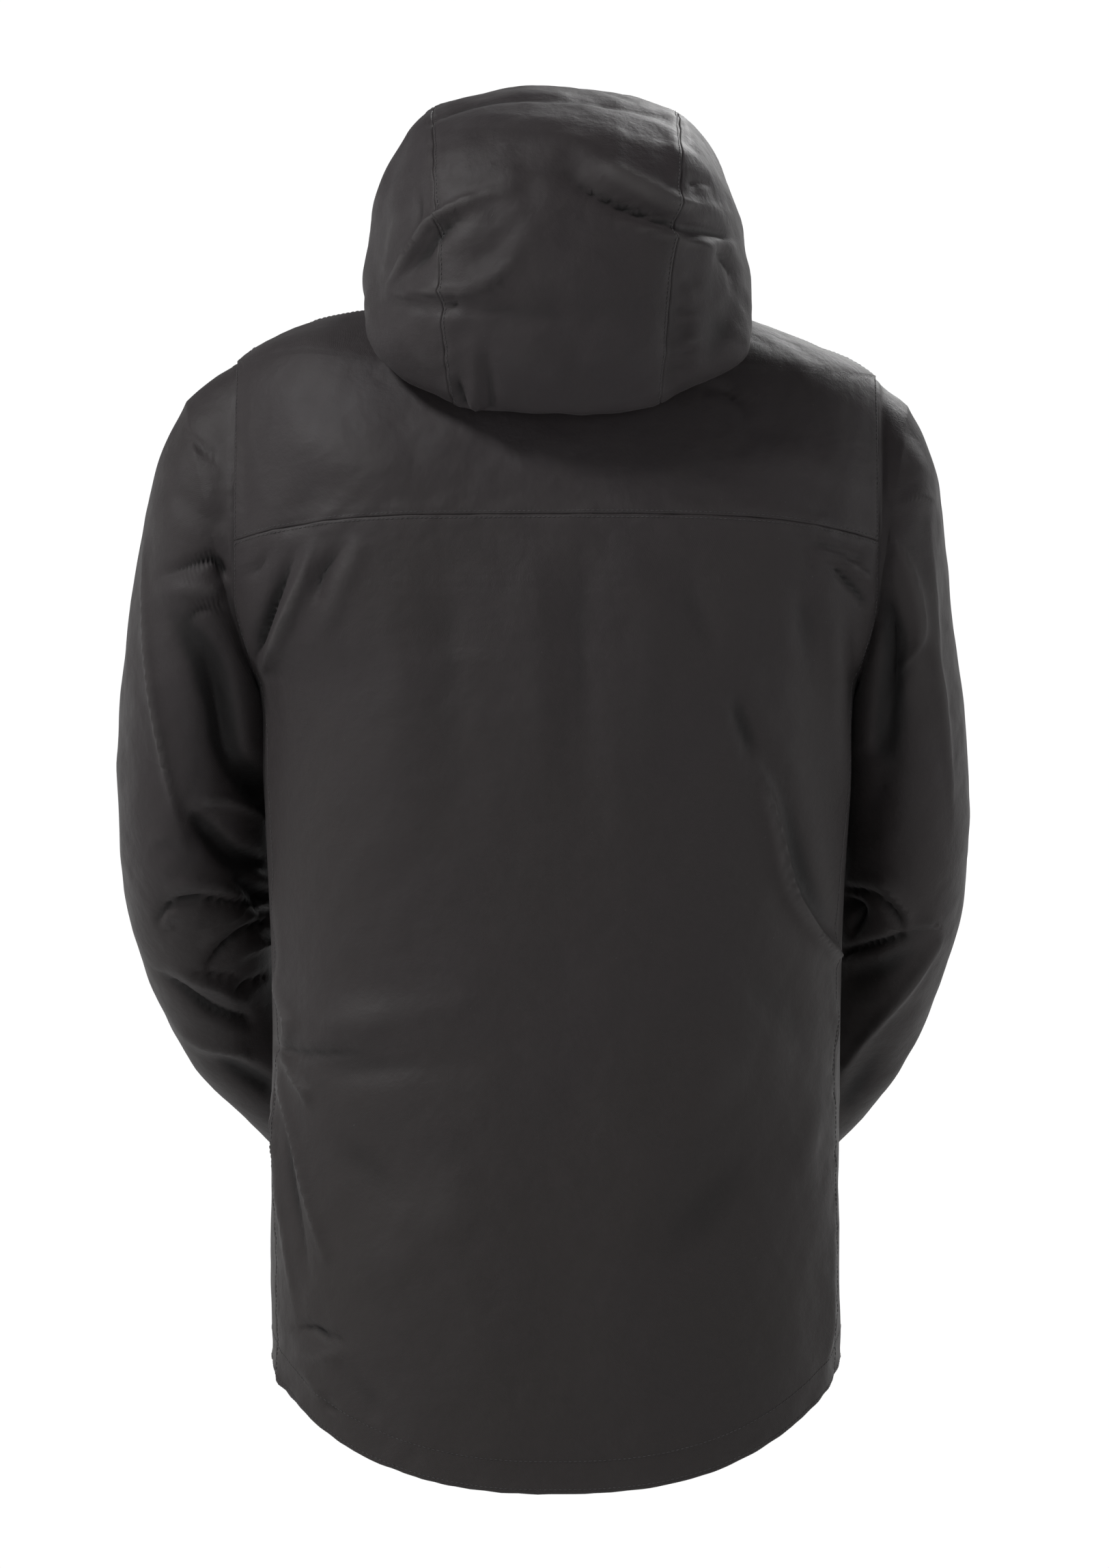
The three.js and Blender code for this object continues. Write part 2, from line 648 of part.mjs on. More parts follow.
function netRow(first, shares) {
  const height = (z) => (z > 0 ? z * hoodTop : z * hoodDrop);
  const points = shares.map(([x, y, z]) => V(x * hoodHalfWidth, y * hoodBack, height(z)));
  return [first, ...points];
}

// The cheeks are nearly flat: a straight run from neck seam to face opening with a little fullness.
function cheekRow(first, last, fullness) {
  const row = [];
  for (let i = 0; i <= hoodRows; i++) {
    const t = i / hoodRows;
    row.push(first.clone().lerp(last, t).addScaledVector(fullness, Math.sin(Math.PI * t)));
  }
  return row;
}

const zipEdge = (z) => V(tapeHalf + seamGap, -frontDepth(z), z);
const hoodStations = [
  netRow(neckEdge(90, 4), hoodNet.middle),
  netRow(neckEdge(48, 4), hoodNet.quarter),
  netRow(neckEdge(10, 4), hoodNet.side),
  cheekRow(neckEdge(-34, 3), V(0.72 * hoodHalfWidth, -0.4 * hoodBack, 0.62 * hoodTop), V(28, 6, -4)),
  cheekRow(neckEdge(-64, 2), V(0.44 * hoodHalfWidth, -0.47 * hoodBack, 0.49 * hoodTop), V(12, -8, 0)),
  cheekRow(zipEdge(neckZ(-90) + 1), zipEdge(collarTop), V(0, 0, 0)),
].map((row) => new THREE.CatmullRomCurve3(row));

// across runs from -1 at the right zip edge to 1 at the left; along from the neck seam to the face opening.
function hood(across, along) {
  const points = hoodStations.map((station) => station.getPoint(along));
  const mirrored = points.slice(1).reverse().map((p) => V(-p.x, p.y, p.z));
  return new THREE.CatmullRomCurve3([...mirrored, ...points]).getPoint((across + 1) / 2);
}

const hoodSeam = 0.2; // where the centre panel meets the side panels

function hoodShell() {
  const trim = 0.004;
  const centre = (s, t) => hood(lerp(hoodSeam - trim, -hoodSeam + trim, s), t);
  add("hood_centre_panel", sheet(centre, 6, 20), "shell");
  for (const [side, sign] of Object.entries(sides)) {
    const panel = (s, t) => hood(sign * lerp(hoodSeam + trim, 1, s), t);
    const flipped = (s, t) => panel(1 - s, t);
    add(`hood_side_${side}`, sheet(sign > 0 ? flipped : panel, 11, 14), "shell");
  }
  const reach = 0.3;
  const peak = (s, t) => {
    const edge = hood(lerp(reach, -reach, s), 1);
    const bow = 1 - (2 * s - 1) ** 2;
    const forward = V(0, -1, -0.06).multiplyScalar(brimGap + t * brimLength * (0.25 + 0.75 * bow));
    return edge.add(forward);
  };
  add("hood_brim", sheet(peak, 10, 3, 0, fabric), "shell");
  const under = (s, t) => peak(lerp(0.06, 0.94, s), lerp(0.1, 0.92, t));
  add("brim_stiffener", sheet(under, 10, 3, brimGap + brimLayer, -brimGap), "plastic");
  for (const [side, sign] of Object.entries(sides)) {
    const at = hood(sign * 0.86, 0.8);
    const out = at.clone().sub(V(0, 0, at.z)).normalize();
    const ahead = hood(sign * 0.86, 0.84).sub(hood(sign * 0.86, 0.76)).normalize();
    const beside = hood(sign * 0.88, 0.8).sub(hood(sign * 0.84, 0.8)).normalize();
    const normal = beside.clone().cross(ahead).normalize();
    if (normal.dot(out) < 0) normal.negate();
    const up = ahead.clone();
    const across = normal.clone().cross(up).normalize();
    const seat = { at: at.addScaledVector(normal, 0.6), across, out: normal, up };
    add(`hood_eyelet_${side}`, eyelet(seat), "metal");
  }
}

// ---------- sleeves ----------
const bodySide = (z) => sectionValue("half", z);

// Sections of a sleeve: middle, half width and half depth.
// The upper ones slant from the shoulder to the armpit.
function sleeveStations(side) {
  const elbowZ = -armpitDrop - elbowDrop;
  const elbow = V(bodySide(elbowZ) + elbowGap[side] + elbowHalf[side], -elbowAhead, elbowZ);
  const rise = (share) => lerp(shoulderHalfWidth + sleeveHead[side], elbow.x + elbowHalf[side], share);
  const upper = [
    { rise: 0, from: 22, to: 8, depth: 80, y: 0 },
    { rise: 0.38, from: 58, to: 20, depth: 82, y: 0 },
    { rise: 0.66, from: 110, to: 32, depth: 83, y: -3 },
    { rise: 0.86, from: 172, to: 46, depth: 81, y: -9 },
    { rise: 1, from: 234, to: 63, depth: 77, y: -20 },
  ].map((station) => {
    const high = V(rise(station.rise), station.y, -shoulderDrop - (station.from * armholeDepth) / 220);
    const z = -armpitDrop - station.to;
    const low = V(bodySide(z) + sleeveGap, station.y, z);
    return {
      at: high.clone().lerp(low, 0.5),
      u: high.clone().sub(low).multiplyScalar(0.5),
      v: V(0, station.depth, 0),
    };
  });
  const wristZ = elbowZ - forearmDrop;
  const wristX = bodySide(wristZ) - wristOut;
  const wrist = V(wristX, torso(-angleAtX(wristX, wristZ), wristZ).y - wristGap - 53, wristZ);
  const part = (axis, share) => lerp(elbow[axis], wrist[axis], share);
  const between = (x, y, z) => V(part("x", x), part("y", y), part("z", z));
  const cuffEnd = wrist.clone().add(V(-24, -18, -30));
  const path = [elbow, between(0.075, 0.265, 0.3), between(0.33, 0.62, 0.62), wrist, cuffEnd];
  const half = elbowHalf[side];
  const radii = [[half, 70], [half + 2, 64], [48, 58], [47, 53], [47, 52]];
  const lower = path.map((at, i) => {
    const [before, after] = [path[Math.max(0, i - 1)], path[Math.min(path.length - 1, i + 1)]];
    const along = after.clone().sub(before).normalize();
    if (i === 0) along.set(-0.05, -0.4, -1).normalize();
    const u = V(1, 0, 0).addScaledVector(along, -along.x).normalize();
    const v = along.clone().cross(u).normalize();
    if (v.y < 0) v.negate();
    return { at, u: u.multiplyScalar(radii[i][0]), v: v.multiplyScalar(radii[i][1]) };
  });
  return [...upper, ...lower];
}

// The armhole seam as a ring; turn 0 is its top and a quarter turn is its back.
function armholeRing(turn) {
  const half = armholeDepth / 2 - seamGap;
  const z = -shoulderDrop - armholeDepth / 2 + half * Math.cos(2 * Math.PI * turn);
  const angle = armholeAngle(z) * Math.sign(Math.sin(2 * Math.PI * turn) || 1);
  const at = torso(angle, z);
  return V(armholeX(z) + armholeGap, at.y, z);
}

const sleeveEnd = { root: 0, upper: 0.53, gusset: 0.66, cuff: 0.955 };

function sleeveSurface(side, sign) {
  const stations = sleeveStations(side);
  const curve = (key) => new THREE.CatmullRomCurve3(stations.map((station) => station[key]));
  const [at, u, v] = [curve("at"), curve("u"), curve("v")];
  const rootShare = 1 / stations.length;
  return (turn, along) => {
    const t = clamp((along - rootShare) / (1 - rootShare), 0, 1);
    const a = 2 * Math.PI * turn;
    const point = at.getPoint(t).addScaledVector(u.getPoint(t), Math.cos(a));
    point.addScaledVector(v.getPoint(t), Math.sin(a));
    if (along < rootShare) point.lerp(armholeRing(turn), 1 - along / rootShare);
    return V(sign * point.x, point.y, point.z);
  };
}

const joinGap = 0.0055; // share of the sleeve's length between two of its parts
const sleeveSeam = 0.0035; // share of the sleeve's girth left open on each side of its two seams

function sleeve(side, sign) {
  const surface = sleeveSurface(side, sign);
  const tube = (name, from, to, rings, wallHalf) => {
    const part = (s, t) => surface(sign > 0 ? s : 1 - s, lerp(from, to, t));
    add(`${name}_${side}`, tubeWall(part, 18, rings, wallHalf, wallHalf), "shell");
  };
  // The sleeve and the forearm are each cut as a front and a back piece, with seams over and under the arm.
  const halves = { front: [0.5 + sleeveSeam, 1 - sleeveSeam], back: [sleeveSeam, 0.5 - sleeveSeam] };
  for (const [half, [first, last]] of Object.entries(halves)) {
    const piece = (name, from, to, rings) => {
      const [near, far] = sign > 0 ? [first, last] : [last, first];
      const part = (s, t) => surface(lerp(near, far, s), lerp(from, to, t));
      add(`${name}_${half}_${side}`, sheet(part, 9, rings, fabric / 2, fabric / 2), "shell");
    };
    piece("sleeve", sleeveEnd.root, sleeveEnd.upper, 9);
    piece("forearm", sleeveEnd.gusset, sleeveEnd.cuff, 5);
  }
  tube("elbow_panel", sleeveEnd.upper + joinGap, sleeveEnd.gusset - joinGap, 3, fabric / 2);
  tube("cuff", sleeveEnd.cuff + joinGap, 1, 1, fabric);
  cuffClosure(side, sign, surface);
}

// The cuff's hook-and-loop tab, sewn at its rear end, lies round the outside over its loop patch.
function cuffClosure(side, sign, surface) {
  const middle = (sleeveEnd.cuff + 1) / 2;
  const girth = 2 * Math.PI * 50;
  const along = surface(0, 1).distanceTo(surface(0, sleeveEnd.cuff));
  const strip = (start, size, lift) => {
    const [turns, width] = [size.length / girth, (size.width / along) * (1 - sleeveEnd.cuff)];
    return (s, t) => {
      const [a, b] = [start - s * turns, middle + lerp(-0.5, 0.5, t) * width];
      const at = surface((a + 1) % 1, b);
      const axis = surface(0.25, b).add(surface(0.75, b)).multiplyScalar(0.5);
      return at.addScaledVector(at.clone().sub(axis).normalize(), lift);
    };
  };
  const start = 0.2;
  const patch = strip(start - 0.02, cuffPatch, fabric + 0.6);
  const tab = strip(start, cuffTab, fabric + 0.6 + cuffPatch.thickness + 1);
  const sheetOf = (f, layer, n) => sheet(sign > 0 ? f : (s, t) => f(s, 1 - t), n, 1, 0, layer);
  add(`cuff_patch_${side}`, sheetOf(patch, cuffPatch.thickness, 6), "lining");
  add(`cuff_tab_${side}`, sheetOf(tab, cuffTab.thickness, 6), "shell");
}

// ---------- assembly ----------
torsoShell();
collar();
hangerLoop();
frontZip();
for (const [side, sign] of Object.entries(sides)) {
  pocket(side, sign);
  sleeve(side, sign);
}
hem();
hoodShell();

export default group;
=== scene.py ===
# %% [markdown]
# # A hooded hardshell jacket
# The jacket is a thin three-layer fabric cut into panels and sewn: a yoke over the shoulders, one long back
# panel, fronts, sides, two-piece sleeves with an elbow panel, and a big three-piece hood that stands empty.
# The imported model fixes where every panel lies, so it is loaded first and each new piece stands for its nodes.

import bpy
import bmesh
import json
import math
import numpy as np
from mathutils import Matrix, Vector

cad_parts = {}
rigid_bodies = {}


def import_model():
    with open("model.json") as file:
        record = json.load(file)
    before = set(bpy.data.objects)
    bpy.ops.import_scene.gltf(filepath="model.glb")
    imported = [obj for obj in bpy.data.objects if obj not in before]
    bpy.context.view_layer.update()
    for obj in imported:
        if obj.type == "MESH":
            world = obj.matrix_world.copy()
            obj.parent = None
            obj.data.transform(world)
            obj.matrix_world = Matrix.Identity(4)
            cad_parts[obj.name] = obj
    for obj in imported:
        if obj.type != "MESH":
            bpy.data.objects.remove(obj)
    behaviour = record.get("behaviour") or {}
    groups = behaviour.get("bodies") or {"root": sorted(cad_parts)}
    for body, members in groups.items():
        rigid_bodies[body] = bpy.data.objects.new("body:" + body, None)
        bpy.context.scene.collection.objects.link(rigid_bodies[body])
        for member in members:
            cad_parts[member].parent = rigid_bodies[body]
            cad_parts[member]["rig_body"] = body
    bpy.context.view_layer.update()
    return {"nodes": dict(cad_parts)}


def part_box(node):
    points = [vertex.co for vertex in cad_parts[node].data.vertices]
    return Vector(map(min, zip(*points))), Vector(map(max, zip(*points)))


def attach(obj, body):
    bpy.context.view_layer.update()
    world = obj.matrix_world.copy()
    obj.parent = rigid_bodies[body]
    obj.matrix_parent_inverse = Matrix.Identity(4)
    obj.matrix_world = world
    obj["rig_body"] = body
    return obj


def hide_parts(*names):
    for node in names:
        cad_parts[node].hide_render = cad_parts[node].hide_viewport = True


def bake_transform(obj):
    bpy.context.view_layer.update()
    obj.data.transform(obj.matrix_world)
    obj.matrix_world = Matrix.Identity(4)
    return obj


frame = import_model()

# %% [markdown]
# ## Camera, floor and light
# A black fabric only reads when light rakes across its folds. One soft box high on the left does that, a faint one
# fills from the right, two pick out the edges and one lights the front. The room is white up to just above the
# jacket and dim overhead, which gives a white background from any side. The camera looks level at the middle of the
# back from five metres away.

# %% Camera
scene = bpy.context.scene
stand_off = 5.0
camera = bpy.data.objects.new("camera", bpy.data.cameras.new("camera"))
scene.collection.objects.link(camera)
camera.location = (0.0014, stand_off, -0.3398)
camera.rotation_euler = (math.pi / 2, 0, math.pi)
camera.data.sensor_fit = "VERTICAL"
camera.data.sensor_height = 36
camera.data.lens = 161.4
scene.camera = camera
scene.view_settings.view_transform = "Standard"
print("camera", tuple(round(v, 3) for v in camera.location), "lens", camera.data.lens)


# %% Soft boxes and the pale world
def add_object(name, data):
    made = bpy.data.objects.new(name, data)
    scene.collection.objects.link(made)
    return made


def baked(piece):
    return bpy.data.meshes.new_from_object(piece.evaluated_get(bpy.context.evaluated_depsgraph_get()))


def soft_box(name, place, aim, size, power):
    light = add_object(name, bpy.data.lights.new(name, "AREA"))
    light.data.shape = "SQUARE"
    light.data.size = size
    light.data.energy = power
    light.location = place
    away = light.location - type(light.location)(aim)
    light.rotation_euler = away.to_track_quat("Z", "Y").to_euler()


soft_box("key light", (2.7, 1.7, 2.9), (0.0, 0, -0.25), 0.8, 155)
soft_box("fill light", (-3.0, 2.4, 1.3), (0, 0, -0.1), 1.2, 5)
soft_box("left edge light", (3.0, -0.6, 0.3), (0.2, 0, -0.4), 1.0, 4)
soft_box("right edge light", (-3.0, 0.0, 0.5), (-0.2, 0, -0.3), 1.0, 11)
soft_box("front light", (-1.4, -3.0, 2.2), (0, 0, -0.3), 1.2, 95)
world = bpy.data.worlds.new("pale room")
world.use_nodes = True
room = world.node_tree
facing = room.nodes.new("ShaderNodeTexCoord")
parts_of = room.nodes.new("ShaderNodeSeparateXYZ")
band = room.nodes.new("ShaderNodeMapRange")
band.interpolation_type = "SMOOTHSTEP"
for key, value in {"From Min": 0.125, "From Max": 0.2, "To Min": 1.02, "To Max": 0.12}.items():
    band.inputs[key].default_value = value
room.links.new(facing.outputs["Generated"], parts_of.inputs[0])
room.links.new(parts_of.outputs["Z"], band.inputs["Value"])
room.links.new(band.outputs["Result"], room.nodes["Background"].inputs["Strength"])
room.nodes["Background"].inputs["Color"].default_value = (1, 1, 1, 1)
scene.world = world

# %% [markdown]
# ## Writing shader sums
# A finish is easier to read when its maths is written as maths. A small class wraps a socket, so that `a * b + c`
# makes the Math nodes, and one method makes any other node from its type, its settings and what feeds it.


# %% Finish writer
class Thread:
    def __init__(self, finish, socket):
        self.finish = finish
        self.socket = socket

    def math(self, operation, *others):
        return self.finish.node("ShaderNodeMath", {"operation": operation}, [self, *others])

    def __add__(self, other):
        return self.math("ADD", other)

    def __mul__(self, other):
        return self.math("MULTIPLY", other)

    def __sub__(self, other):
        return self.math("SUBTRACT", other)

    def __radd__(self, other):
        return self + other

    def __rsub__(self, other):
        return self * -1 + other

    def sine(self):
        return self.math("SINE")

    def above(self, edge, soft):
        ramp = {"data_type": "FLOAT", "interpolation_type": "SMOOTHSTEP"}
        return self.finish.node("ShaderNodeMapRange", ramp, {"Value": self, "From Min": edge, "From Max": edge + soft})


class Finish:
    def __init__(self, name):
        self.material = bpy.data.materials.new(name)
        self.material.use_nodes = True
        self.tree = self.material.node_tree
        self.shader = self.tree.nodes["Principled BSDF"]

    def node(self, kind, settings=None, sockets=None, out=0):
        made = self.tree.nodes.new(kind)
        for key, value in (settings or {}).items():
            setattr(made, key, value)
        named = sockets.items() if isinstance(sockets, dict) else enumerate(sockets or [])
        for key, value in named:
            self.feed(made.inputs[key], value)
        return Thread(self, made.outputs[out])

    def feed(self, socket, value):
        if isinstance(value, Thread):
            self.tree.links.new(value.socket, socket)
        else:
            socket.default_value = value

    def colour(self, first, second, share):
        return self.tinted((*first, 1), second, share)

    def tinted(self, below, above, share):
        return self.node("ShaderNodeMix", {"data_type": "RGBA"}, {0: share, 6: below, 7: (*above, 1)}, 2)

    def place(self):
        return self.node("ShaderNodeTexCoord", out="Object")

    def cloud(self, scale, detail=3.0, vector=None):
        sockets = {"Vector": vector or self.place(), "Scale": scale, "Detail": detail, "Roughness": 0.55}
        return self.node("ShaderNodeTexNoise", {}, sockets, "Fac")

    def carried(self, name):
        return self.node("ShaderNodeAttribute", {"attribute_name": name}, out="Fac")

    def surface(self, colour, rough, height=None, **fixed):
        self.feed(self.shader.inputs["Base Color"], colour)
        self.feed(self.shader.inputs["Roughness"], rough)
        if height is not None:
            bump = self.node("ShaderNodeBump", {}, {"Height": height, "Distance": 1.0, "Strength": 1.0}, "Normal")
            self.feed(self.shader.inputs["Normal"], bump)
        for key, value in fixed.items():
            self.shader.inputs[key.replace("_", " ")].default_value = value
        print(self.material.name, "finish,", len(self.tree.nodes), "nodes")
        return self.material


# %% [markdown]
# ## Shell fabric
# The face fabric is a tight plain weave of fine nylon yarn, dyed black and treated to shed water: matt, slightly
# warm, with a faint sheen at grazing angles. A worn one is rubbed a little paler along seams, dusty in patches,
# and crinkled finely all over. Fold tops are painted paler as a painted highlight and fold hollows near-black as
# painted shade. The weave follows each panel's own lengthways and crossways threads, which the panels carry as a
# UV map in metres; rubbing and the fold heights behind the painted highlight and shade come from values the panels
# carry too.


# %% Shell finish
def weave(finish, pitch):
    spot = finish.node("ShaderNodeUVMap", {"uv_map": "cut"})
    across = finish.node("ShaderNodeSeparateXYZ", {}, [spot], 0)
    along = finish.node("ShaderNodeSeparateXYZ", {}, [spot], 1)
    turn = 2 * math.pi / pitch
    return (across * turn).sine() * (along * turn).sine()


def shell_finish():
    cloth = Finish("shell fabric")
    patches = cloth.cloud(7.0)
    mottle = cloth.cloud(85.0, 4.0)
    specks = cloth.cloud(620.0, 1.0).above(0.795, 0.03)
    rubbed = cloth.carried("rubbed")
    raised = cloth.carried("raised")
    warmth = patches * 0.7 + cloth.node("ShaderNodeSeparateXYZ", {}, [cloth.place()], 2) * -0.55
    plain = cloth.colour((0.0186, 0.0146, 0.0182), (0.0186, 0.0160, 0.0138), warmth)
    base = cloth.tinted(plain, (0.0300, 0.0250, 0.0252), mottle * 0.55)
    # Painted highlight: fold tops are lightened from the fold height. The paler colour near seams is real rubbed wear.
    fold_highlight_and_rubbed = cloth.tinted(base, (0.050, 0.046, 0.046), raised.above(0.6, 0.4) * 0.6 + rubbed * 0.14)
    # Painted shade: fold hollows are darkened to near-black from the fold height.
    fold_shade_painted = cloth.tinted(fold_highlight_and_rubbed, (0.004, 0.0034, 0.0036), (1 - raised).above(0.62, 0.38) * 0.85)
    dusty = cloth.tinted(fold_shade_painted, (0.09, 0.085, 0.085), specks * 0.5)
    crinkle = cloth.cloud(46.0, 4.0)
    grain = cloth.cloud(900.0, 2.0)
    height = weave(cloth, 0.0011) * 0.000035 + grain * 0.00009 + crinkle * 0.0016
    rough = 0.52 + mottle * 0.14 - rubbed * 0.06
    sheen = {"Sheen_Weight": 0.04, "Sheen_Roughness": 0.42, "Specular_IOR_Level": 0.28}
    return cloth.surface(dusty, rough, height, **sheen)


shell = shell_finish()


# %% Backer and lining finishes
def backer_finish():
    knit = Finish("backer knit")
    tone = knit.colour((0.050, 0.050, 0.053), (0.075, 0.075, 0.079), knit.cloud(40.0))
    loops = weave(knit, 0.0016)
    return knit.surface(tone, 0.86 + loops * 0.04, loops * 0.00012 + knit.cloud(500.0) * 0.0001, Sheen_Weight=0.2)


def lining_finish():
    tricot = Finish("brushed tricot")
    nap = tricot.cloud(340.0, 4.0)
    tone = tricot.colour((0.030, 0.030, 0.032), (0.062, 0.062, 0.066), nap * 0.7 + tricot.cloud(18.0) * 0.3)
    return tricot.surface(tone, 0.9, nap * 0.0006, Sheen_Weight=0.5, Sheen_Roughness=0.55)


backer = backer_finish()
lining = lining_finish()


# %% Tape, thread, moulded and metal finishes
def tape_finish():
    webbing = Finish("zip tape")
    rows = webbing.node("ShaderNodeSeparateXYZ", {}, [webbing.place()], 2)
    ribs = (rows * (2 * math.pi / 0.0012)).sine()
    tone = webbing.colour((0.009, 0.009, 0.0095), (0.017, 0.017, 0.018), webbing.cloud(120.0))
    return webbing.surface(tone, 0.46 + webbing.cloud(60.0) * 0.14, ribs * 0.00005 + webbing.cloud(300.0) * 0.0001)


def moulded_finish():
    nylon = Finish("moulded nylon")
    tone = nylon.colour((0.008, 0.008, 0.009), (0.014, 0.014, 0.015), nylon.cloud(90.0))
    return nylon.surface(tone, 0.4 + nylon.cloud(240.0) * 0.16, nylon.cloud(700.0) * 0.00006)


def metal_finish():
    zinc = Finish("painted zinc")
    chips = zinc.cloud(420.0, 5.0).above(0.66, 0.03)
    paint = zinc.colour((0.016, 0.016, 0.018), (0.026, 0.026, 0.029), zinc.cloud(60.0))
    tone = zinc.tinted(paint, (0.32, 0.31, 0.30), chips)
    material = zinc.surface(tone, 0.34 + zinc.cloud(160.0) * 0.18, zinc.cloud(500.0) * 0.00005)
    zinc.feed(zinc.shader.inputs["Metallic"], 0.35 + chips * 0.6)
    return material


def thread_finish():
    yarn = Finish("sewing thread")
    tone = yarn.colour((0.012, 0.011, 0.012), (0.060, 0.056, 0.058), yarn.cloud(160.0))
    return yarn.surface(tone, 0.55 + yarn.cloud(900.0) * 0.2, yarn.cloud(1500.0) * 0.00008)


tape, moulded, metal, thread = tape_finish(), moulded_finish(), metal_finish(), thread_finish()

# %% [markdown]
# ## Floor
# A wide round of pale card lies where a wearer's feet would be, so the jacket hangs above it as it would be worn.


# %% Floor disc
def floor_disc(drop, reach):
    sides_round = 96
    turns = np.linspace(0, 2 * math.pi, sides_round + 1)[:-1]
    rim = [(reach * math.cos(a), reach * math.sin(a), drop) for a in turns]
    mesh = bpy.data.meshes.new("floor disc")
    mesh.from_pydata(rim, [], [tuple(range(sides_round))])
    floor = add_object("floor_disc", mesh)
    card = Finish("pale card")
    mesh.materials.append(card.surface(card.colour((0.86, 0.86, 0.86), (0.90, 0.90, 0.90), card.cloud(3.0)), 0.9))
    return floor


floor = floor_disc(-1.48, 5.2)
print("floor at", round(floor.data.vertices[0].co.z, 2), "m")

# %% [markdown]
# ## The body's form
# The torso is a stack of rounded-square sections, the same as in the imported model, joined by a smooth curve in
# height. All lengths in this part are millimetres and turn into metres when a mesh is made. Angles run round the
# body from the wearer's left side (0) over the back (90).

# %% Body sections
# Each row is a height, a half width, a depth to the back and the power that rounds the corners.
sections = np.array([
    (-880, 201, 150, 2.4), (-745, 201, 150, 2.4), (-480, 202, 149, 2.4), (-340, 208.2, 151, 2.45),
    (-270, 213, 152, 2.5), (-240, 232.5, 151, 2.5), (-200, 248, 150, 2.5), (-149, 252, 146, 2.5),
    (-100, 246, 136, 2.4), (-50, 226, 114.8, 2.2), (-25.2, 174.9, 98, 2.1), (-7.84, 132.56, 83.6, 2.0),
    (12, 80, 70, 2.0), (72, 68, 60, 2.0),
])
slopes = np.vstack([sections[1:], sections[-1:]]) - np.vstack([sections[:1], sections[:-1]])
slopes = slopes / slopes[:, :1]


def section(kind, z):
    at = np.clip(z, sections[0, 0], sections[-1, 0])
    i = np.clip(np.searchsorted(sections[:, 0], at, side="left") - 1, 0, len(sections) - 2)
    span = sections[i + 1, 0] - sections[i, 0]
    u = (at - sections[i, 0]) / span
    first, last = sections[i, kind], sections[i + 1, kind]
    ease = (2 * u**3 - 3 * u**2 + 1) * first + (3 * u**2 - 2 * u**3) * last
    return ease + (u**3 - 2 * u**2 + u) * span * slopes[i, kind] + (u**3 - u**2) * span * slopes[i + 1, kind]


def mix(first, last, share):
    return first + (last - first) * share


def smooth(share):
    share = np.clip(share, 0, 1)
    return share * share * (3 - 2 * share)


def front_depth(z):
    return 85 + (60 - z) * (80 / 805)


def torso(angle, z):
    angle, z = np.broadcast_arrays(np.asarray(angle, float), np.asarray(z, float))
    power = 2 / section(3, z)
    c, s = np.cos(np.radians(angle)), np.sin(np.radians(angle))
    depth = np.where(s > 0, section(2, z), front_depth(z))
    x = section(1, z) * np.sign(c) * np.abs(c) ** power
    return np.stack([x, depth * np.sign(s) * np.abs(s) ** power, z], -1)


print("half width at the armpits", round(float(section(1, np.array(-270.0))), 1), "mm")

# %% Seam lines of the body
shoulder_z, armpit_z = -50.0, -270.0
shoulder_half, armpit_half = 226.0, 213.0
zip_gap = 13.6


def angle_at(x, z):
    share = np.clip(x / section(1, z), 0, 1)
    return np.degrees(np.arccos(share ** (section(3, z) / 2)))


def armhole_x(z):
    return mix(shoulder_half, armpit_half, smooth((-z - 210) / 60))


def armhole_angle(z):
    inside = (z < shoulder_z) & (z > armpit_z)
    return np.where(inside, angle_at(armhole_x(z), z), 0.0)


def hem_z(angle):
    s = np.sin(np.radians(angle))
    return -745 - np.where(s > 0, 85 * np.abs(s) ** 1.4, 18 * s * s)


def yoke_z(angle):
    x = torso(angle, np.full_like(angle, -153.0))[..., 0]
    return -153 - 17 * np.minimum(1, np.abs(x) / shoulder_half) ** 4


def front_yoke_z(angle):
    return np.full_like(angle, -118.0)


def neck_z(angle):
    return 12 - 50 * np.maximum(0, -np.sin(np.radians(angle))) ** 3


def armpit_height(angle):
    low, high = np.full_like(angle, armpit_z), np.full_like(angle, -171.0)
    for _ in range(30):
        middle = (low + high) / 2
        below = armhole_angle(middle) < np.abs(angle)
        low, high = np.where(below, middle, low), np.where(below, high, middle)
    return low


print("armpit seam rises to", np.round(armpit_height(np.array([14.0, 22.0])), 0).tolist(), "mm")

# %% [markdown]
# ## Cloth behaviour
# Three things turn a clean form into worn cloth. Long folds run from where the cloth is held: armholes, elbows,
# the hood's rim. They are drawn here as lines with a width and a height, seen from behind or from the front.
# Broad swells and small crinkles fill the rest, and seams pucker because thread and tape shrink less than cloth.
# Cloth simulation would find folds of its own, but not these ones, so they are sculpted in code.


# %% Swells and crinkles
def swell(points, size, seed, stretch=(1, 1, 1)):
    rng = np.random.default_rng(seed)
    q = points * np.array(stretch) / size
    total = np.zeros(points.shape[:-1])
    for _ in range(9):
        wave = rng.normal(size=3)
        wave *= rng.uniform(0.6, 1.4) * 2 * math.pi / np.linalg.norm(wave)
        bend = rng.normal(size=3) * 1.3
        phase = rng.uniform(0, 2 * math.pi)
        total += np.sin(q @ wave + phase + 1.2 * np.sin(q @ bend + 2 * phase))
    return total / 3.6


# %% Where a point shows to someone standing behind
sight_x, sight_z, drawing_distance = 1.44, -339.8, 4940


def from_behind(points):
    near = drawing_distance / (stand_off * 1000 - points[..., 1])
    x = sight_x + (points[..., 0] - sight_x) * near
    z = sight_z + (points[..., 2] - sight_z) * near
    return np.stack([x, z], -1)


def from_front(points):
    return points[..., [0, 2]]


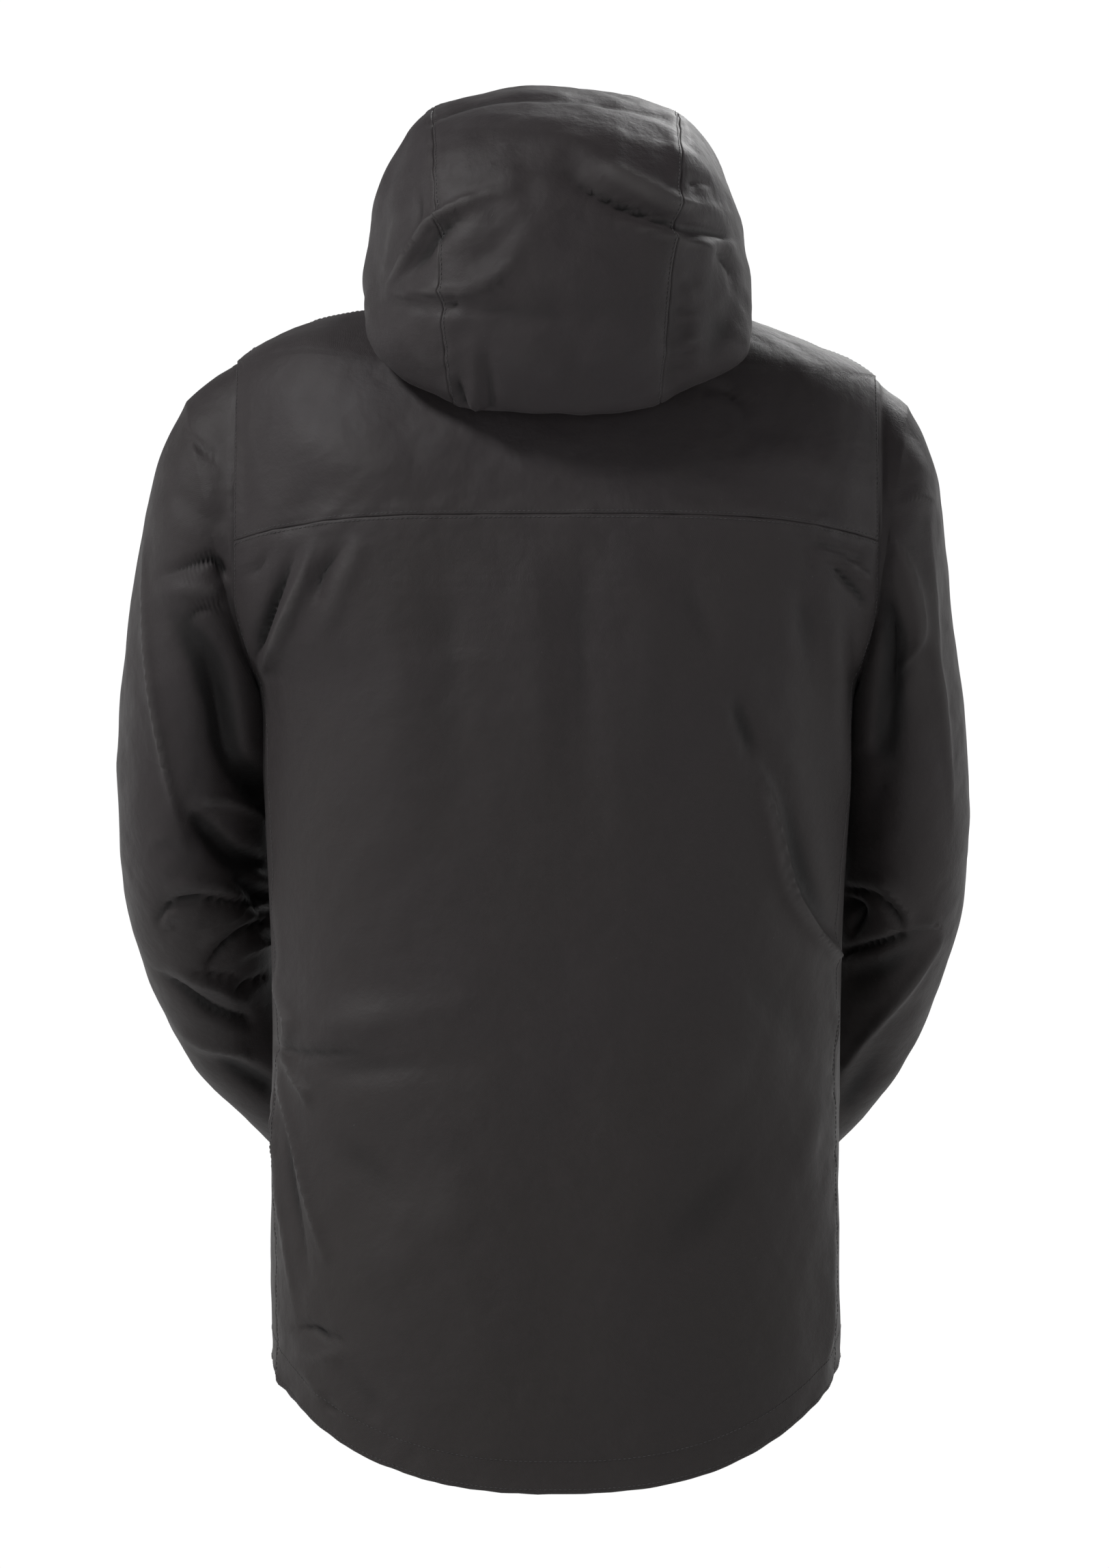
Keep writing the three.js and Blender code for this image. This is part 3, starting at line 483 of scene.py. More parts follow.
# %% One drawn fold
def rounded_line(knots, count=14):
    knots = np.asarray(knots, float)
    at = np.linspace(0, len(knots) - 1, count)
    i = np.minimum(at.astype(int), len(knots) - 2)
    u = (at - i)[:, None]
    before, after = knots[np.maximum(i - 1, 0)], knots[np.minimum(i + 2, len(knots) - 1)]
    a, b = knots[i], knots[i + 1]
    tight = 0.5 * ((2 * a) + (b - before) * u + (2 * before - 5 * a + 4 * b - after) * u**2)
    return tight + 0.5 * (3 * a - before - 3 * b + after) * u**3


def fold(spots, kind, width, knots):
    line = rounded_line(knots)
    nearest = np.full(spots.shape[:-1], 1e9)
    height = np.zeros(spots.shape[:-1])
    for a, b in zip(line[:-1], line[1:]):
        step = b[:2] - a[:2]
        rel = spots - a[:2]
        u = np.clip((rel @ step) / max(step @ step, 1e-6), 0, 1)
        gap = rel - u[..., None] * step
        d = np.hypot(gap[..., 0], gap[..., 1])
        closer = d < nearest
        nearest = np.where(closer, d, nearest)
        height = np.where(closer, mix(a[2], b[2], u), height)
    reach = nearest / width
    if kind == "crease":
        return height * np.exp(-1.9 * (np.sqrt(reach**2 + 0.02) - 0.14))
    return height * np.exp(-(reach**2))


def folds(spots, drawn):
    total = np.zeros(spots.shape[:-1])
    for kind, width, knots in drawn:
        total += fold(spots, kind, width, knots)
    return total


# %% Reading a list of folds
def read_folds(text):
    drawn = []
    for line in text.strip().splitlines():
        kind, width, *knots = line.split()
        drawn.append((kind, float(width), [[float(v) for v in knot.split(",")] for knot in knots]))
    return drawn


print("a fold reads as", read_folds("soft 8 0,0,1 4,9,2"))

# %% Folds of the back
# Each line is a fold: its kind, its width, then its knots as x,z,height, all in millimetres.
back_folds = read_folds("""
crease 4.8 182,-171,0 191,-192,-4 201,-216,-8 212,-245,-8 218,-265,-2
crease 6.4 171,-168,0 179,-197,4 193,-230,5 209,-262,1
crease 5.6 145,-167,0 157,-180,-3.5 167,-197,-4 172,-217,0
soft 8.5 132,-166,0 146,-187,2.5 161,-221,2 175,-250,0
crease 3.2 226,-193,-1 213,-190,-3 203,-179,-2
crease 4 -161,-161,0 -190,-172,-3 -215,-180,-4
crease 4.8 -168,-188,0 -192,-185,-3 -206,-197,-5 -221,-214,-4
crease 4 -175,-178,0 -199,-183,3 -221,-197,3
soft 10.2 -168,-197,0 -175,-221,-2.5 -180,-269,-1.5 -178,-312,0
soft 7.6 -192,-211,0 -197,-250,2.5 -199,-307,3 -204,-365,1.5 -202,-408,0
crease 6.4 -206,-216,0 -210,-245,-2.5 -211,-274,0
crease 6.4 -137,-307,0 -146,-341,4 -155,-374,6.5 -162,-408,7.5 -175,-434,6.5 -196,-460,4
soft 8.5 -150,-317,0 -161,-355,-3 -172,-398,-5 -186,-432,-3.5 -198,-451,0
soft 7.6 -123,-269,0 -130,-293,-3.5 -141,-322,-3 -150,-350,0
crease 4 -191,-475,1 -196,-509,2.5 -198,-538,0
soft 8.5 -187,-557,0 -182,-581,2.5 -175,-605,2 -180,-622,0
crease 4.8 -195,-634,0 -192,-677,2 -191,-725,2.5 -187,-751,0
crease 4.8 200,-403,0 196,-432,2.5 193,-461,2.5 195,-485,3.5 187,-509,5 194,-528,2
crease 6.4 198,-524,-2.5 180,-528,-3.5 156,-528,-2.5 122,-526,0
crease 3.2 193,-530,1 185,-542,4 176,-556,4.5 174,-564,1.5
crease 3.2 195,-533,1 190,-562,3.5 182,-595,3.5 173,-634,3 162,-675,1
crease 3.2 198,-538,0 196,-576,3 193,-624,2.5 187,-677,2 182,-720,0
crease 4.8 192,-557,0 187,-605,-3.5 180,-653,-3 173,-696,0
crease 4 187,-723,0 175,-721,-4 161,-727,-4 147,-732,-1
crease 5.6 185,-737,0 166,-742,3 149,-744,0
crease 3.2 197,-744,1 192,-763,2.5 184,-779,1
crease 4 180,-749,0 170,-763,2.5 161,-774,0
crease 3.2 166,-772,0 156,-780,-2.5 150,-788,0
soft 10.2 154,-742,0 137,-763,-2 115,-790,-1
soft 16 -23,-167,0 -17,-197,-2.2 -14,-245,-2.4 -17,-317,-1.6 -14,-394,0
soft 20 7,-167,0 17,-221,1.6 14,-293,1.6 12,-413,0
soft 22 -55,-168,0 -60,-221,1.6 -55,-317,1.3 -55,-413,0
soft 11.9 -89,-168,0 -94,-211,-2.2 -108,-245,-1.6 -118,-274,0
soft 18 84,-173,0 79,-221,-1.8 74,-317,-1.8 65,-394,0
soft 22 122,-173,0 118,-245,1.6 113,-317,1 108,-413,0
soft 11.9 185,-505,0 142,-504,2.6 94,-499,1.6 46,-494,0
soft 11.9 185,-542,0 142,-538,-2.4 84,-536,-1.5 26,-528,0
soft 25 142,-706,0 113,-667,2.2 79,-634,2.2 50,-605,0
soft 18 180,-576,0 142,-600,-2.2 108,-634,-1.6 94,-682,0
soft 20 -89,-499,0 -122,-538,2 -108,-576,1.6 -65,-610,0
soft 18 -118,-451,0 -146,-480,-2 -175,-518,-2 -185,-557,0
soft 24 -55,-701,0 -94,-653,-2.4 -127,-614,-2 -151,-576,0
soft 10.2 233,-101,0 226,-125,-2 223,-154,-1.6 226,-170,0
soft 11.9 156,-120,0 180,-151,-1.8 202,-173,0
soft 20 -132,-101,0 -161,-120,2 -199,-127,1.6 -221,-120,0
soft 11 -146,-125,0 -180,-143,-2.4 -206,-156,-1.6
crease 4 -106,-58,-1 -122,-65,-3 -137,-82,0
soft 22 209,-86,0 175,-96,2 132,-115,1.6 94,-139,0
""")
print("folds drawn on the back", len(back_folds))

# %% Folds of the hood
hood_folds = read_folds("""
crease 2.8 93,119,0 82,129,-2 55,138,-2.6 14,143,-2.6 -31,140,-2.6 -70,131,-2.2 -90,120,0
crease 4.8 -3,90,0 -26,76,-4 -50,65,-5.5 -77,55,-5 -94,51,-4 -110,48,-4.5 -127,41,0
soft 7.6 -10,105,0 -41,89,4 -70,73,5 -94,64,4 -118,59,1
crease 6.4 -17,67,0 -50,53,2.5 -84,43,3 -108,36,2
crease 4 19,80,0 46,75,3 65,68,4.5 79,61,6 91,53,6.5 101,36,6 110,22,5 118,11,2
crease 5.6 53,60,0 72,55,-3 84,44,-4.5 94,31,-5 104,20,-2
crease 4 118,5,1.5 98,6,3.5 79,8,4 60,8,3 41,17,2.5 23,34,0
crease 6.4 115,-2,-1.5 84,-4,-3.5 55,-6,-2.5 22,-6,0
soft 7.6 70,21,0 50,33,-1.6 34,46,-1.2 21,54,0
crease 4.8 97,91,0 97,67,-3 100,48,-1.5 104,33,0
crease 6.4 107,67,0 114,48,2 120,23,1.5
crease 2.8 -89,80,0 -98,83,-2.5 -112,82,0
crease 2.6 -81,60,0 -98,61,-2.5 -116,59,0
crease 4.8 -110,36,0 -119,29,-4 -126,11,0
crease 2.9 -85,11,0 -94,14,-2.6 -101,11,0
crease 3 -82,-9,0 -93,-4,-3 -106,-9,0
crease 2.7 -86,-20,0 -94,-17,-2.6 -100,-21,0
crease 3.2 -83,-35,0 -95,-28,2.4 -105,-32,0
crease 2.9 -85,-40,0 -93,-38,-2.6 -100,-43,0
crease 2.9 -84,-51,0 -91,-47,-3 -96,-53,0
soft 8.5 -82,19,-1 -79,-14,-2 -81,-48,-2.5 -82,-72,-1
crease 6.4 -91,24,1 -95,-5,2 -95,-38,2 -91,-65,1
crease 4 71,-54,-1 69,-66,-5 64,-78,-3
crease 5.6 49,-24,0 48,-53,-3 47,-78,-3
crease 5.6 59,-24,0 58,-53,2 57,-77,2
crease 2.7 78,-9,0 74,-4,-2.6 68,0,0
soft 11.9 55,-14,-1 7,-11,-2 -55,-12,-1
soft 20 46,-38,0 7,-43,2 -41,-41,1.6 -70,-29,0
soft 8.5 55,108,0 22,113,1.6 -22,110,1.2 -55,103,0
crease 6.4 46,96,0 12,93,-1.6 -17,91,-1
soft 8.5 122,-19,0 103,-29,2 84,-48,1.5 74,-67,0
soft 10.2 -113,0,0 -118,-19,-2.5 -110,-38,-2
""")
print("folds drawn on the hood", len(hood_folds))

# %% Folds of the sleeves, seen from behind
left_sleeve_folds = read_folds("""
crease 4 290,-168,1 289,-221,3.5 285,-269,4.5 277,-317,4.5 270,-350,3 264,-372,0
soft 12.8 267,-225,-3 247,-252,-7 235,-281,-10 226,-314,-11 210,-341,-9
crease 5.6 255,-356,2 238,-352,5 218,-355,5 203,-364,3
soft 7.6 259,-360,-3 242,-377,-7 226,-392,-9 205,-395,-7
soft 7.6 222,-408,-4 211,-417,-9 203,-419,-9
crease 3.6 281,-435,-3 274,-426,-5 254,-421,-6 233,-423,-5 208,-428,-4
crease 5.6 277,-415,0 257,-411,4 233,-413,4 213,-419,3
crease 3.2 245,-467,-3 233,-454,-7 218,-443,-8 202,-437,-6
crease 5.6 251,-453,0 235,-440,4 214,-431,3
crease 4.8 235,-469,0 218,-457,4 202,-450,4
crease 2.4 283,-438,0 274,-443,-2.5 263,-437,0
crease 5.6 285,-471,-1 264,-485,-6 242,-499,-7 217,-505,-4
crease 5.6 276,-465,0 247,-480,3.5 217,-492,2
crease 3.2 263,-473,0 247,-474,-4 224,-476,-2.5
crease 3.2 231,-490,0 218,-481,-4 205,-475,-3
soft 7.6 243,-532,-1 226,-540,-5 203,-553,-5
crease 6.4 271,-509,0 247,-523,3 218,-530,3
crease 5.6 283,-195,0 264,-188,-3.5 242,-181,-5 234,-190,-5
soft 7.6 282,-207,0 262,-203,3 241,-206,3
crease 6.4 264,-228,0 252,-217,-3 237,-212,-3
crease 4 261,-90,0 250,-103,-3 240,-108,-2
crease 5.6 290,-390,0 278,-377,2.4 265,-378,1.8 258,-390,0
soft 7.6 276,-125,0 259,-144,-2 240,-154,-2
""")
right_sleeve_folds = read_folds("""
crease 6.4 -229,-157,1 -245,-182,4 -253,-211,5 -255,-240,5 -243,-262,2
soft 11.9 -223,-211,-4 -238,-240,-11 -233,-269,-11 -221,-310,-8
crease 6.4 -259,-151,0 -263,-202,3.5 -266,-250,4 -272,-298,4 -277,-341,2 -279,-382,0
soft 11.9 -252,-269,0 -242,-298,-2.5 -233,-331,-2.5 -222,-367,-2
crease 2.9 -204,-414,-4 -218,-417,-6.5 -232,-425,-6.5 -243,-439,-3
crease 6.4 -204,-423,-8 -212,-430,-8 -208,-443,-4
crease 5.6 -213,-405,0 -233,-412,4 -248,-430,3
crease 4 -203,-458,-6 -223,-453,-6.5 -247,-447,-5 -266,-445,-2
crease 5.6 -268,-450,3 -255,-470,5 -238,-492,5 -218,-518,4 -203,-539,3
soft 11.9 -213,-476,-4 -233,-470,-4.5 -248,-461,-3
soft 10.2 -234,-518,0 -219,-542,-3.5 -206,-563,-4
crease 4.8 -252,-437,0 -264,-437,2.5 -274,-446,0
crease 6.4 -225,-63,-1 -228,-86,-4 -228,-125,-3 -225,-155,0
crease 5.6 -236,-143,0 -252,-139,2.4 -267,-144,0
soft 10.2 -247,-96,0 -254,-120,2 -257,-144,1
""")
print("folds drawn on the sleeves", len(left_sleeve_folds), len(right_sleeve_folds))

# %% Folds of the front, seen from the front
front_folds = read_folds("""
soft 7.6 214,-235,0 182,-262,4 150,-305,4 112,-370,0
crease 6.4 208,-262,-1 180,-290,-4 158,-335,-3.5 140,-390,0
soft 8.5 -214,-228,0 -186,-252,4 -148,-285,4.5 -104,-330,0
crease 6.4 -210,-258,-1 -176,-288,-4.5 -150,-330,-3 -132,-378,0
soft 11.9 150,-60,0 120,-100,-2.5 80,-150,-2 40,-220,0
soft 11.9 -150,-60,0 -124,-108,2.5 -90,-170,2 -48,-240,0
soft 16 60,-260,0 66,-380,2.5 58,-520,3 64,-660,2 60,-750,1
soft 11.9 -52,-300,0 -60,-420,-2.5 -54,-560,-3 -58,-700,-2 -56,-750,0
soft 11 120,-420,0 150,-470,-3 175,-540,-3.5 188,-620,0
soft 11 -110,-430,0 -146,-486,3 -172,-560,3.5 -186,-640,0
crease 5.6 196,-470,0 170,-488,4 138,-492,3 108,-486,0
crease 5.6 -196,-486,0 -168,-500,-4 -136,-504,-3 -106,-498,0
soft 10.2 24,-90,0 32,-180,2 28,-300,1.5 30,-420,0
soft 10.2 -24,-80,0 -34,-190,-2 -30,-310,-1.5 -28,-430,0
soft 7.6 120,-690,0 150,-716,3 184,-730,2
soft 7.6 -116,-700,0 -150,-722,-3 -186,-734,-2
""")
print("folds drawn on the front", len(front_folds))


# %% [markdown]
# ## Panels
# Every panel is a sheet between its seam lines, with threads every few millimetres and extra rows near the edges,
# where the cloth rolls in to the seam. Its back face lies a fabric's thickness inside and shows the backer knit.


# %% Rows that crowd towards the edges
edge_rows = [0.0, 0.5, 1.1, 1.8, 2.8]
first_inner = 4.2


def spaced(length, step):
    count = max(2, int(round((length - 2 * first_inner) / step)) + 1)
    inner = np.linspace(first_inner, length - first_inner, count)
    rows = np.concatenate([edge_rows, inner, length - np.array(edge_rows[::-1])])
    return rows / length


print("a 100 mm panel gets", len(spaced(100, 4)), "rows")


# %% Directions out of a sheet
def normals_of(grid, inside, wrap=False):
    if wrap:
        around = np.roll(grid, -1, 1) - np.roll(grid, 1, 1)
    else:
        around = np.gradient(grid, axis=1)
    normal = np.cross(around, np.gradient(grid, axis=0))
    normal /= np.maximum(np.linalg.norm(normal, axis=-1, keepdims=True), 1e-9)
    facing = np.sum(normal * (grid - inside)) >= 0
    return (normal if facing else -normal), facing


def run_lengths(grid, axis):
    steps = np.linalg.norm(np.diff(grid, axis=axis), axis=-1)
    start = np.zeros_like(np.take(grid[..., 0], [0], axis))
    return np.concatenate([start, np.cumsum(steps, axis)], axis)


# %% A sheet as a closed mesh
def sheet_mesh(name, outer, inner, facing, wrap, values, looks):
    rows, cols = outer.shape[:2]
    near = np.arange(rows * cols).reshape(rows, cols)
    if wrap:
        near = np.concatenate([near, near[:, :1]], 1)
    far = near + rows * cols
    skin = np.stack([near[:-1, :-1], near[:-1, 1:], near[1:, 1:], near[1:, :-1]], -1).reshape(-1, 4)
    under = np.stack([far[:-1, :-1], far[1:, :-1], far[1:, 1:], far[:-1, 1:]], -1).reshape(-1, 4)
    rims = [np.stack([near[0, :-1], far[0, :-1], far[0, 1:], near[0, 1:]], -1)]
    rims.append(np.stack([near[-1, 1:], far[-1, 1:], far[-1, :-1], near[-1, :-1]], -1))
    if not wrap:
        rims.append(np.stack([near[1:, 0], far[1:, 0], far[:-1, 0], near[:-1, 0]], -1))
        rims.append(np.stack([near[:-1, -1], far[:-1, -1], far[1:, -1], near[1:, -1]], -1))
    faces = np.vstack([skin, under, *rims])
    if not facing:
        faces = faces[:, ::-1]
    mesh = bpy.data.meshes.new(name)
    mesh.from_pydata((np.vstack([outer.reshape(-1, 3), inner.reshape(-1, 3)]) / 1000).tolist(), [], faces.tolist())
    mesh.shade_smooth()
    kinds = np.zeros(len(faces), np.int32)
    kinds[len(skin) : len(skin) + len(under)] = 1
    mesh.polygons.foreach_set("material_index", kinds)
    mark_rims(mesh, near, rows * cols, wrap)
    across, along = run_lengths(outer, 1).ravel() / 1000, run_lengths(outer, 0).ravel() / 1000
    corner = np.zeros(len(mesh.loops), np.int32)
    mesh.loops.foreach_get("vertex_index", corner)
    corner %= rows * cols
    cut = mesh.uv_layers.new(name="cut")
    cut.uv.foreach_set("vector", np.stack([across[corner], along[corner]], -1).astype(np.float32).ravel())
    for key, value in values.items():
        carried = mesh.attributes.new(key, "FLOAT", "POINT")
        carried.data.foreach_set("value", np.tile(value.ravel(), 2).astype(np.float32))
    for look in looks:
        mesh.materials.append(look)
    piece = add_object(name, mesh)
    return piece


def mark_rims(mesh, near, layer, wrap):
    border = np.zeros(layer, bool)
    border[near[[0, -1]].ravel()] = True
    if not wrap:
        border[near[:, [0, -1]].ravel()] = True
    ends = np.zeros(len(mesh.edges) * 2, np.int32)
    mesh.edges.foreach_get("vertices", ends)
    ends = ends.reshape(-1, 2)
    same = (ends[:, 0] < layer) == (ends[:, 1] < layer)
    sharp = same & border[ends[:, 0] % layer] & border[ends[:, 1] % layer]
    mesh.attributes.new("sharp_edge", "BOOLEAN", "EDGE").data.foreach_set("value", sharp)


# %% A panel: form, folds, puckers, rolled edges, thickness
fabric = 1.1


def settle(points):
    # The left shoulder and its sleeve head stand high, the right arm is slimmer, the hood's top is domed.
    x, z = points[..., 0], points[..., 2]
    lift = 14.0 * np.exp(-(((x - 188) / 52) ** 2)) * smooth((z + 130) / 80)
    lift = lift + 5.0 * np.exp(-(((x - 244) / 20) ** 2)) * smooth((z + 118) / 50)
    slim = -7.0 * smooth((-x - 215) / 45) * (np.exp(-(((z + 225) / 95) ** 2)) + 0.8 * np.exp(-(((z + 505) / 60) ** 2)))
    dome = 10.0 * np.exp(-(((x - 12) / 74) ** 2)) * smooth((z - 50) / 70)
    moved = points.copy()
    moved[..., 2] += lift + dome
    moved[..., 0] -= slim
    return moved


def pressed(points):
    # Cloth lies calmer beside the arms, along the zip and at the armhole seams, so that pieces don't meet.
    side, y, z = np.abs(points[..., 0]), points[..., 1], points[..., 2]
    beside = smooth((side - 165) / 25) * smooth((236 - side) / 16) * smooth((-z - 215) / 30) * smooth((z + 560) / 60)
    zipped = smooth((34 - side) / 14) * smooth((-y - 50) / 20)
    sewn = smooth(1.3 - np.abs(side - armhole_x(z)) / 14) * smooth((-z - 36) / 10) * smooth((z + 292) / 14)
    return (1 - 0.85 * beside) * (1 - 0.8 * zipped) * (1 - 0.9 * sewn)


def around_eyelets(points):
    # Cloth lies flat where a hem or hood eyelet is set in it.
    free = np.ones(points.shape[:-1])
    for spot in ((40.0, -164.7, -749.2), (53.5, -95.3, 49.6)):
        gap = np.linalg.norm(np.abs(points * [1, 0, 0]) + points * [0, 1, 1] - np.array(spot), axis=-1)
        free *= 1 - np.exp(-((gap / 16) ** 4))
    return free


def edge_gap(grid, wrap, seams):
    across, along = run_lengths(grid, 1), run_lengths(grid, 0)
    gaps = [np.full(grid.shape[:2], 200.0)]
    if "first" in seams and not wrap:
        gaps.append(across)
    if "last" in seams and not wrap:
        gaps.append(across[:, -1:] - across)
    if "foot" in seams:
        gaps.append(along)
    if "top" in seams:
        gaps.append(along[-1:] - along)
    return np.min(gaps, 0)


def panel(name, form, inside, moves, seams="first last foot top", wrap=False, thick=fabric, looks=None, calm=1.0):
    grid = settle(form)
    out, facing = normals_of(grid, inside, wrap)
    drawn = moves(grid, out) if moves else np.zeros(grid.shape[:2])
    gap = edge_gap(grid, wrap, seams.split())
    soft = 1.3 * swell(grid, 150, 11, (1, 1, 0.6)) + 0.5 * swell(grid, 55, 12) + 0.22 * swell(grid, 24, 13)
    pucker = 0.62 * swell(grid, 15, 14) * np.exp(-gap / 11)
    layers = 0.45 * smooth((8.5 - gap) / 1.6) - 0.22 * np.exp(-(((gap - 2.6) / 0.7) ** 2))
    lift = (drawn + calm * (soft + pucker) * pressed(grid) + layers) * around_eyelets(grid)
    grid = grid + out * lift[..., None]
    out, facing = normals_of(grid, inside, wrap)
    # The skin rolls in over the last 1.9 mm to each seam.
    roll = np.clip(1 - gap / 1.9, 0, 1)
    skin = grid - out * (0.95 * (1 - np.sqrt(1 - roll**2)))[..., None]
    back = grid - out * (thick + 0.1)
    # rubbed is real wear near seams. raised is the fold height, which the shell finish turns into a painted highlight
    # on fold tops and painted shade in fold hollows.
    values = {"rubbed": np.exp(-gap / 5.0), "raised": np.clip(0.5 + drawn / 12, 0, 1)}
    piece = sheet_mesh(name, skin, back, facing, wrap, values, looks or [shell, backer])
    piece_grid[name] = (skin, out)
    print(name, len(piece.data.polygons), "faces, folds up to", round(float(np.abs(drawn).max()), 1), "mm")
    return piece


piece_grid = {}


# %% Folds on the torso
def torso_moves(grid, out):
    behind = smooth((grid[..., 1] - 5) / 45)
    ahead = smooth((-grid[..., 1] - 5) / 45)
    armhole = smooth((armhole_x(grid[..., 2]) - np.abs(grid[..., 0])) / 12)
    held = mix(1.0, armhole, smooth((-grid[..., 2] - 40) / 10) * smooth((grid[..., 2] + 285) / 12))
    return held * (1.4 * folds(from_behind(grid), back_folds) * behind + folds(from_front(grid), front_folds) * ahead)


def torso_form(edges, foot, top, step, width, height):
    s, t = np.meshgrid(spaced(width, step), spaced(height, step))
    z = mix(foot(np.full_like(s, 90.0)), top(np.full_like(s, 90.0)), t)
    for _ in range(12):
        first, last = edges(z)
        angle = mix(first, last, s)
        z = mix(foot(angle), top(angle), t)
    return torso(angle, z)


# %% Back panel and yoke
def trunk_core(form):
    core_line = np.zeros_like(form)
    core_line[..., 2] = form[..., 2]
    return core_line


def torso_panel(name, edges, foot, top, step, width, height):
    form = torso_form(edges, foot, top, step, width, height)
    return panel(name, form, trunk_core(form), torso_moves)


def back_edges(z):
    side = np.maximum(14.0, armhole_angle(z))
    return side, 180 - side


def yoke_edges(z):
    side = np.where(z > shoulder_z, 0.0, armhole_angle(z))
    return side, 180 - side


back_panel = torso_panel("jacket_back", back_edges, hem_z, yoke_z, 4.0, 430, 640)
back_yoke = torso_panel("jacket_back_yoke", yoke_edges, yoke_z, neck_z, 4.0, 470, 190)

# %% Fronts, front yokes and sides
torso_pieces = {"back_panel": back_panel, "back_yoke": back_yoke}


def span(sign, first, last):
    return (first, last) if sign > 0 else (180 - last, 180 - first)


def side_pieces(side, sign):
    def middle(z):
        return -angle_at(zip_gap, z)

    def front_edges(z):
        return span(sign, middle(z), -np.maximum(22.0, armhole_angle(z)))

    def front_yoke_edges(z):
        return span(sign, middle(z), -np.where(z > shoulder_z, 0.0, armhole_angle(z)))

    def side_edges(z):
        return span(sign, np.full_like(z, -22.0), np.full_like(z, 14.0))

    def side_top(angle):
        return armpit_height(np.where(angle > 90, 180 - angle, angle))

    cuts = {
        "front_panel": ("jacket_front", front_edges, hem_z, front_yoke_z, 230, 640),
        "front_yoke": ("jacket_front_yoke", front_yoke_edges, front_yoke_z, neck_z, 230, 140),
        "side_panel": ("jacket_side", side_edges, hem_z, side_top, 120, 500),
    }
    made = {}
    for node, (name, edges, foot, top, width, height) in cuts.items():
        made[f"{node}_{side}"] = torso_panel(f"{name}_{side}", edges, foot, top, 4.4, width, height)
    return made


sides = {"left": 1, "right": -1}
for side, sign in sides.items():
    torso_pieces.update(side_pieces(side, sign))


# %% Pocket openings in the fronts
def cut_opening(piece, node):
    low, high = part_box(node)
    grow, reach = 0.0006, 0.03
    hull = bmesh.new()
    for x in (low.x - grow, high.x + grow):
        for y in (low.y - reach, high.y + reach):
            for z in (low.z - grow, high.z + grow):
                hull.verts.new((x, y, z))
    bmesh.ops.convex_hull(hull, input=hull.verts)
    mesh = bpy.data.meshes.new("cutter")
    hull.to_mesh(mesh)
    cutter = add_object("cutter", mesh)
    cut = piece.modifiers.new("opening", "BOOLEAN")
    cut.operation, cut.object, cut.solver = "DIFFERENCE", cutter, "EXACT"
    finished = baked(piece)
    piece.modifiers.clear()
    piece.data = finished
    bpy.data.objects.remove(cutter)
    print(piece.name, "opened for", node, len(finished.polygons), "faces")


for side in sides:
    cut_opening(torso_pieces[f"front_panel_{side}"], f"pocket_zip_{side}")

for node, piece in torso_pieces.items():
    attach(piece, "jacket")
    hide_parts(node)

# %% [markdown]
# ## Curves through stations
# The hood and the sleeves are lofts: smooth curves run through stations, spaced by the square root of the gap
# between neighbours, which keeps them from looping where stations crowd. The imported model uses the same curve.


# %% Smooth curve through points
def curve(points, t):
    count = points.shape[-2]
    at = np.clip(t, 0, 1) * (count - 1)
    i = np.minimum(at.astype(int), count - 2)
    w = (at - i)[..., None]

    def knot(k):
        spot = np.clip(k, 0, count - 1)
        if points.ndim == 2:
            return points[spot]
        return np.take_along_axis(points, spot[..., None, None], -2)[..., 0, :]

    p1, p2 = knot(i), knot(i + 1)
    p0 = np.where((i > 0)[..., None], knot(i - 1), 2 * p1 - p2)
    p3 = np.where((i + 2 < count)[..., None], knot(i + 2), 2 * p2 - p1)
    gaps = [np.sqrt(np.linalg.norm(b - a, axis=-1, keepdims=True)) for a, b in ((p0, p1), (p1, p2), (p2, p3))]
    middle = np.where(gaps[1] < 1e-4, 1.0, gaps[1])
    first = np.where(gaps[0] < 1e-4, middle, gaps[0])
    last = np.where(gaps[2] < 1e-4, middle, gaps[2])
    leave = ((p1 - p0) / first - (p2 - p0) / (first + middle) + (p2 - p1) / middle) * middle
    reach = ((p2 - p1) / middle - (p3 - p1) / (middle + last) + (p3 - p2) / last) * middle
    cubic = 2 * p1 - 2 * p2 + leave + reach
    return p1 + leave * w + (3 * (p2 - p1) - 2 * leave - reach) * w**2 + cubic * w**3


# %% [markdown]
# ## Hood
# The hood is a centre panel from nape to peak and two sides. Empty, it slumps: cloth rolls down over the yoke from
# the neck seam, turns up again at the roll's foot and stands round the shape a head would fill.

# %% Hood stations
# Shares of the hood's half width, its depth, and its height above the neck or its drop below it.
hood_half, hood_back, hood_top, hood_drop = 129.0, 188.0, 149.0, 86.0
net = {
    "middle": [
        (0, 0.6, -0.21), (0, 0.74, -0.68), (0, 0.85, -1), (0, 0.975, -0.5), (0, 1, 0.2), (0, 0.86, 0.64),
        (0, 0.46, 0.9), (0, -0.02, 0.98), (0, -0.36, 1),
    ],
    "quarter": [
        (0.49, 0.5, -0.14), (0.53, 0.64, -0.58), (0.56, 0.75, -0.9), (0.6, 0.88, -0.48), (0.63, 0.9, 0.19),
        (0.66, 0.76, 0.6), (0.67, 0.4, 0.845), (0.65, -0.06, 0.92), (0.58, -0.37, 0.94),
    ],
    "side": [
        (0.76, 0.28, 0.04), (0.85, 0.42, -0.14), (0.93, 0.53, -0.36), (1, 0.54, -0.16), (1, 0.45, 0.2),
        (0.95, 0.3, 0.53), (0.85, 0.11, 0.74), (0.78, -0.11, 0.79), (0.72, -0.29, 0.78),
    ],
}


def neck_edge(angle, rise):
    x, y, z = torso(angle, neck_z(np.array(float(angle))))
    return np.array([x * 1.05, y + math.copysign(6, y), z + rise])


def net_row(first, shares):
    rows = [first]
    for x, y, z in shares:
        rows.append(np.array([x * hood_half, y * hood_back, z * (hood_top if z > 0 else hood_drop)]))
    return np.array(rows)


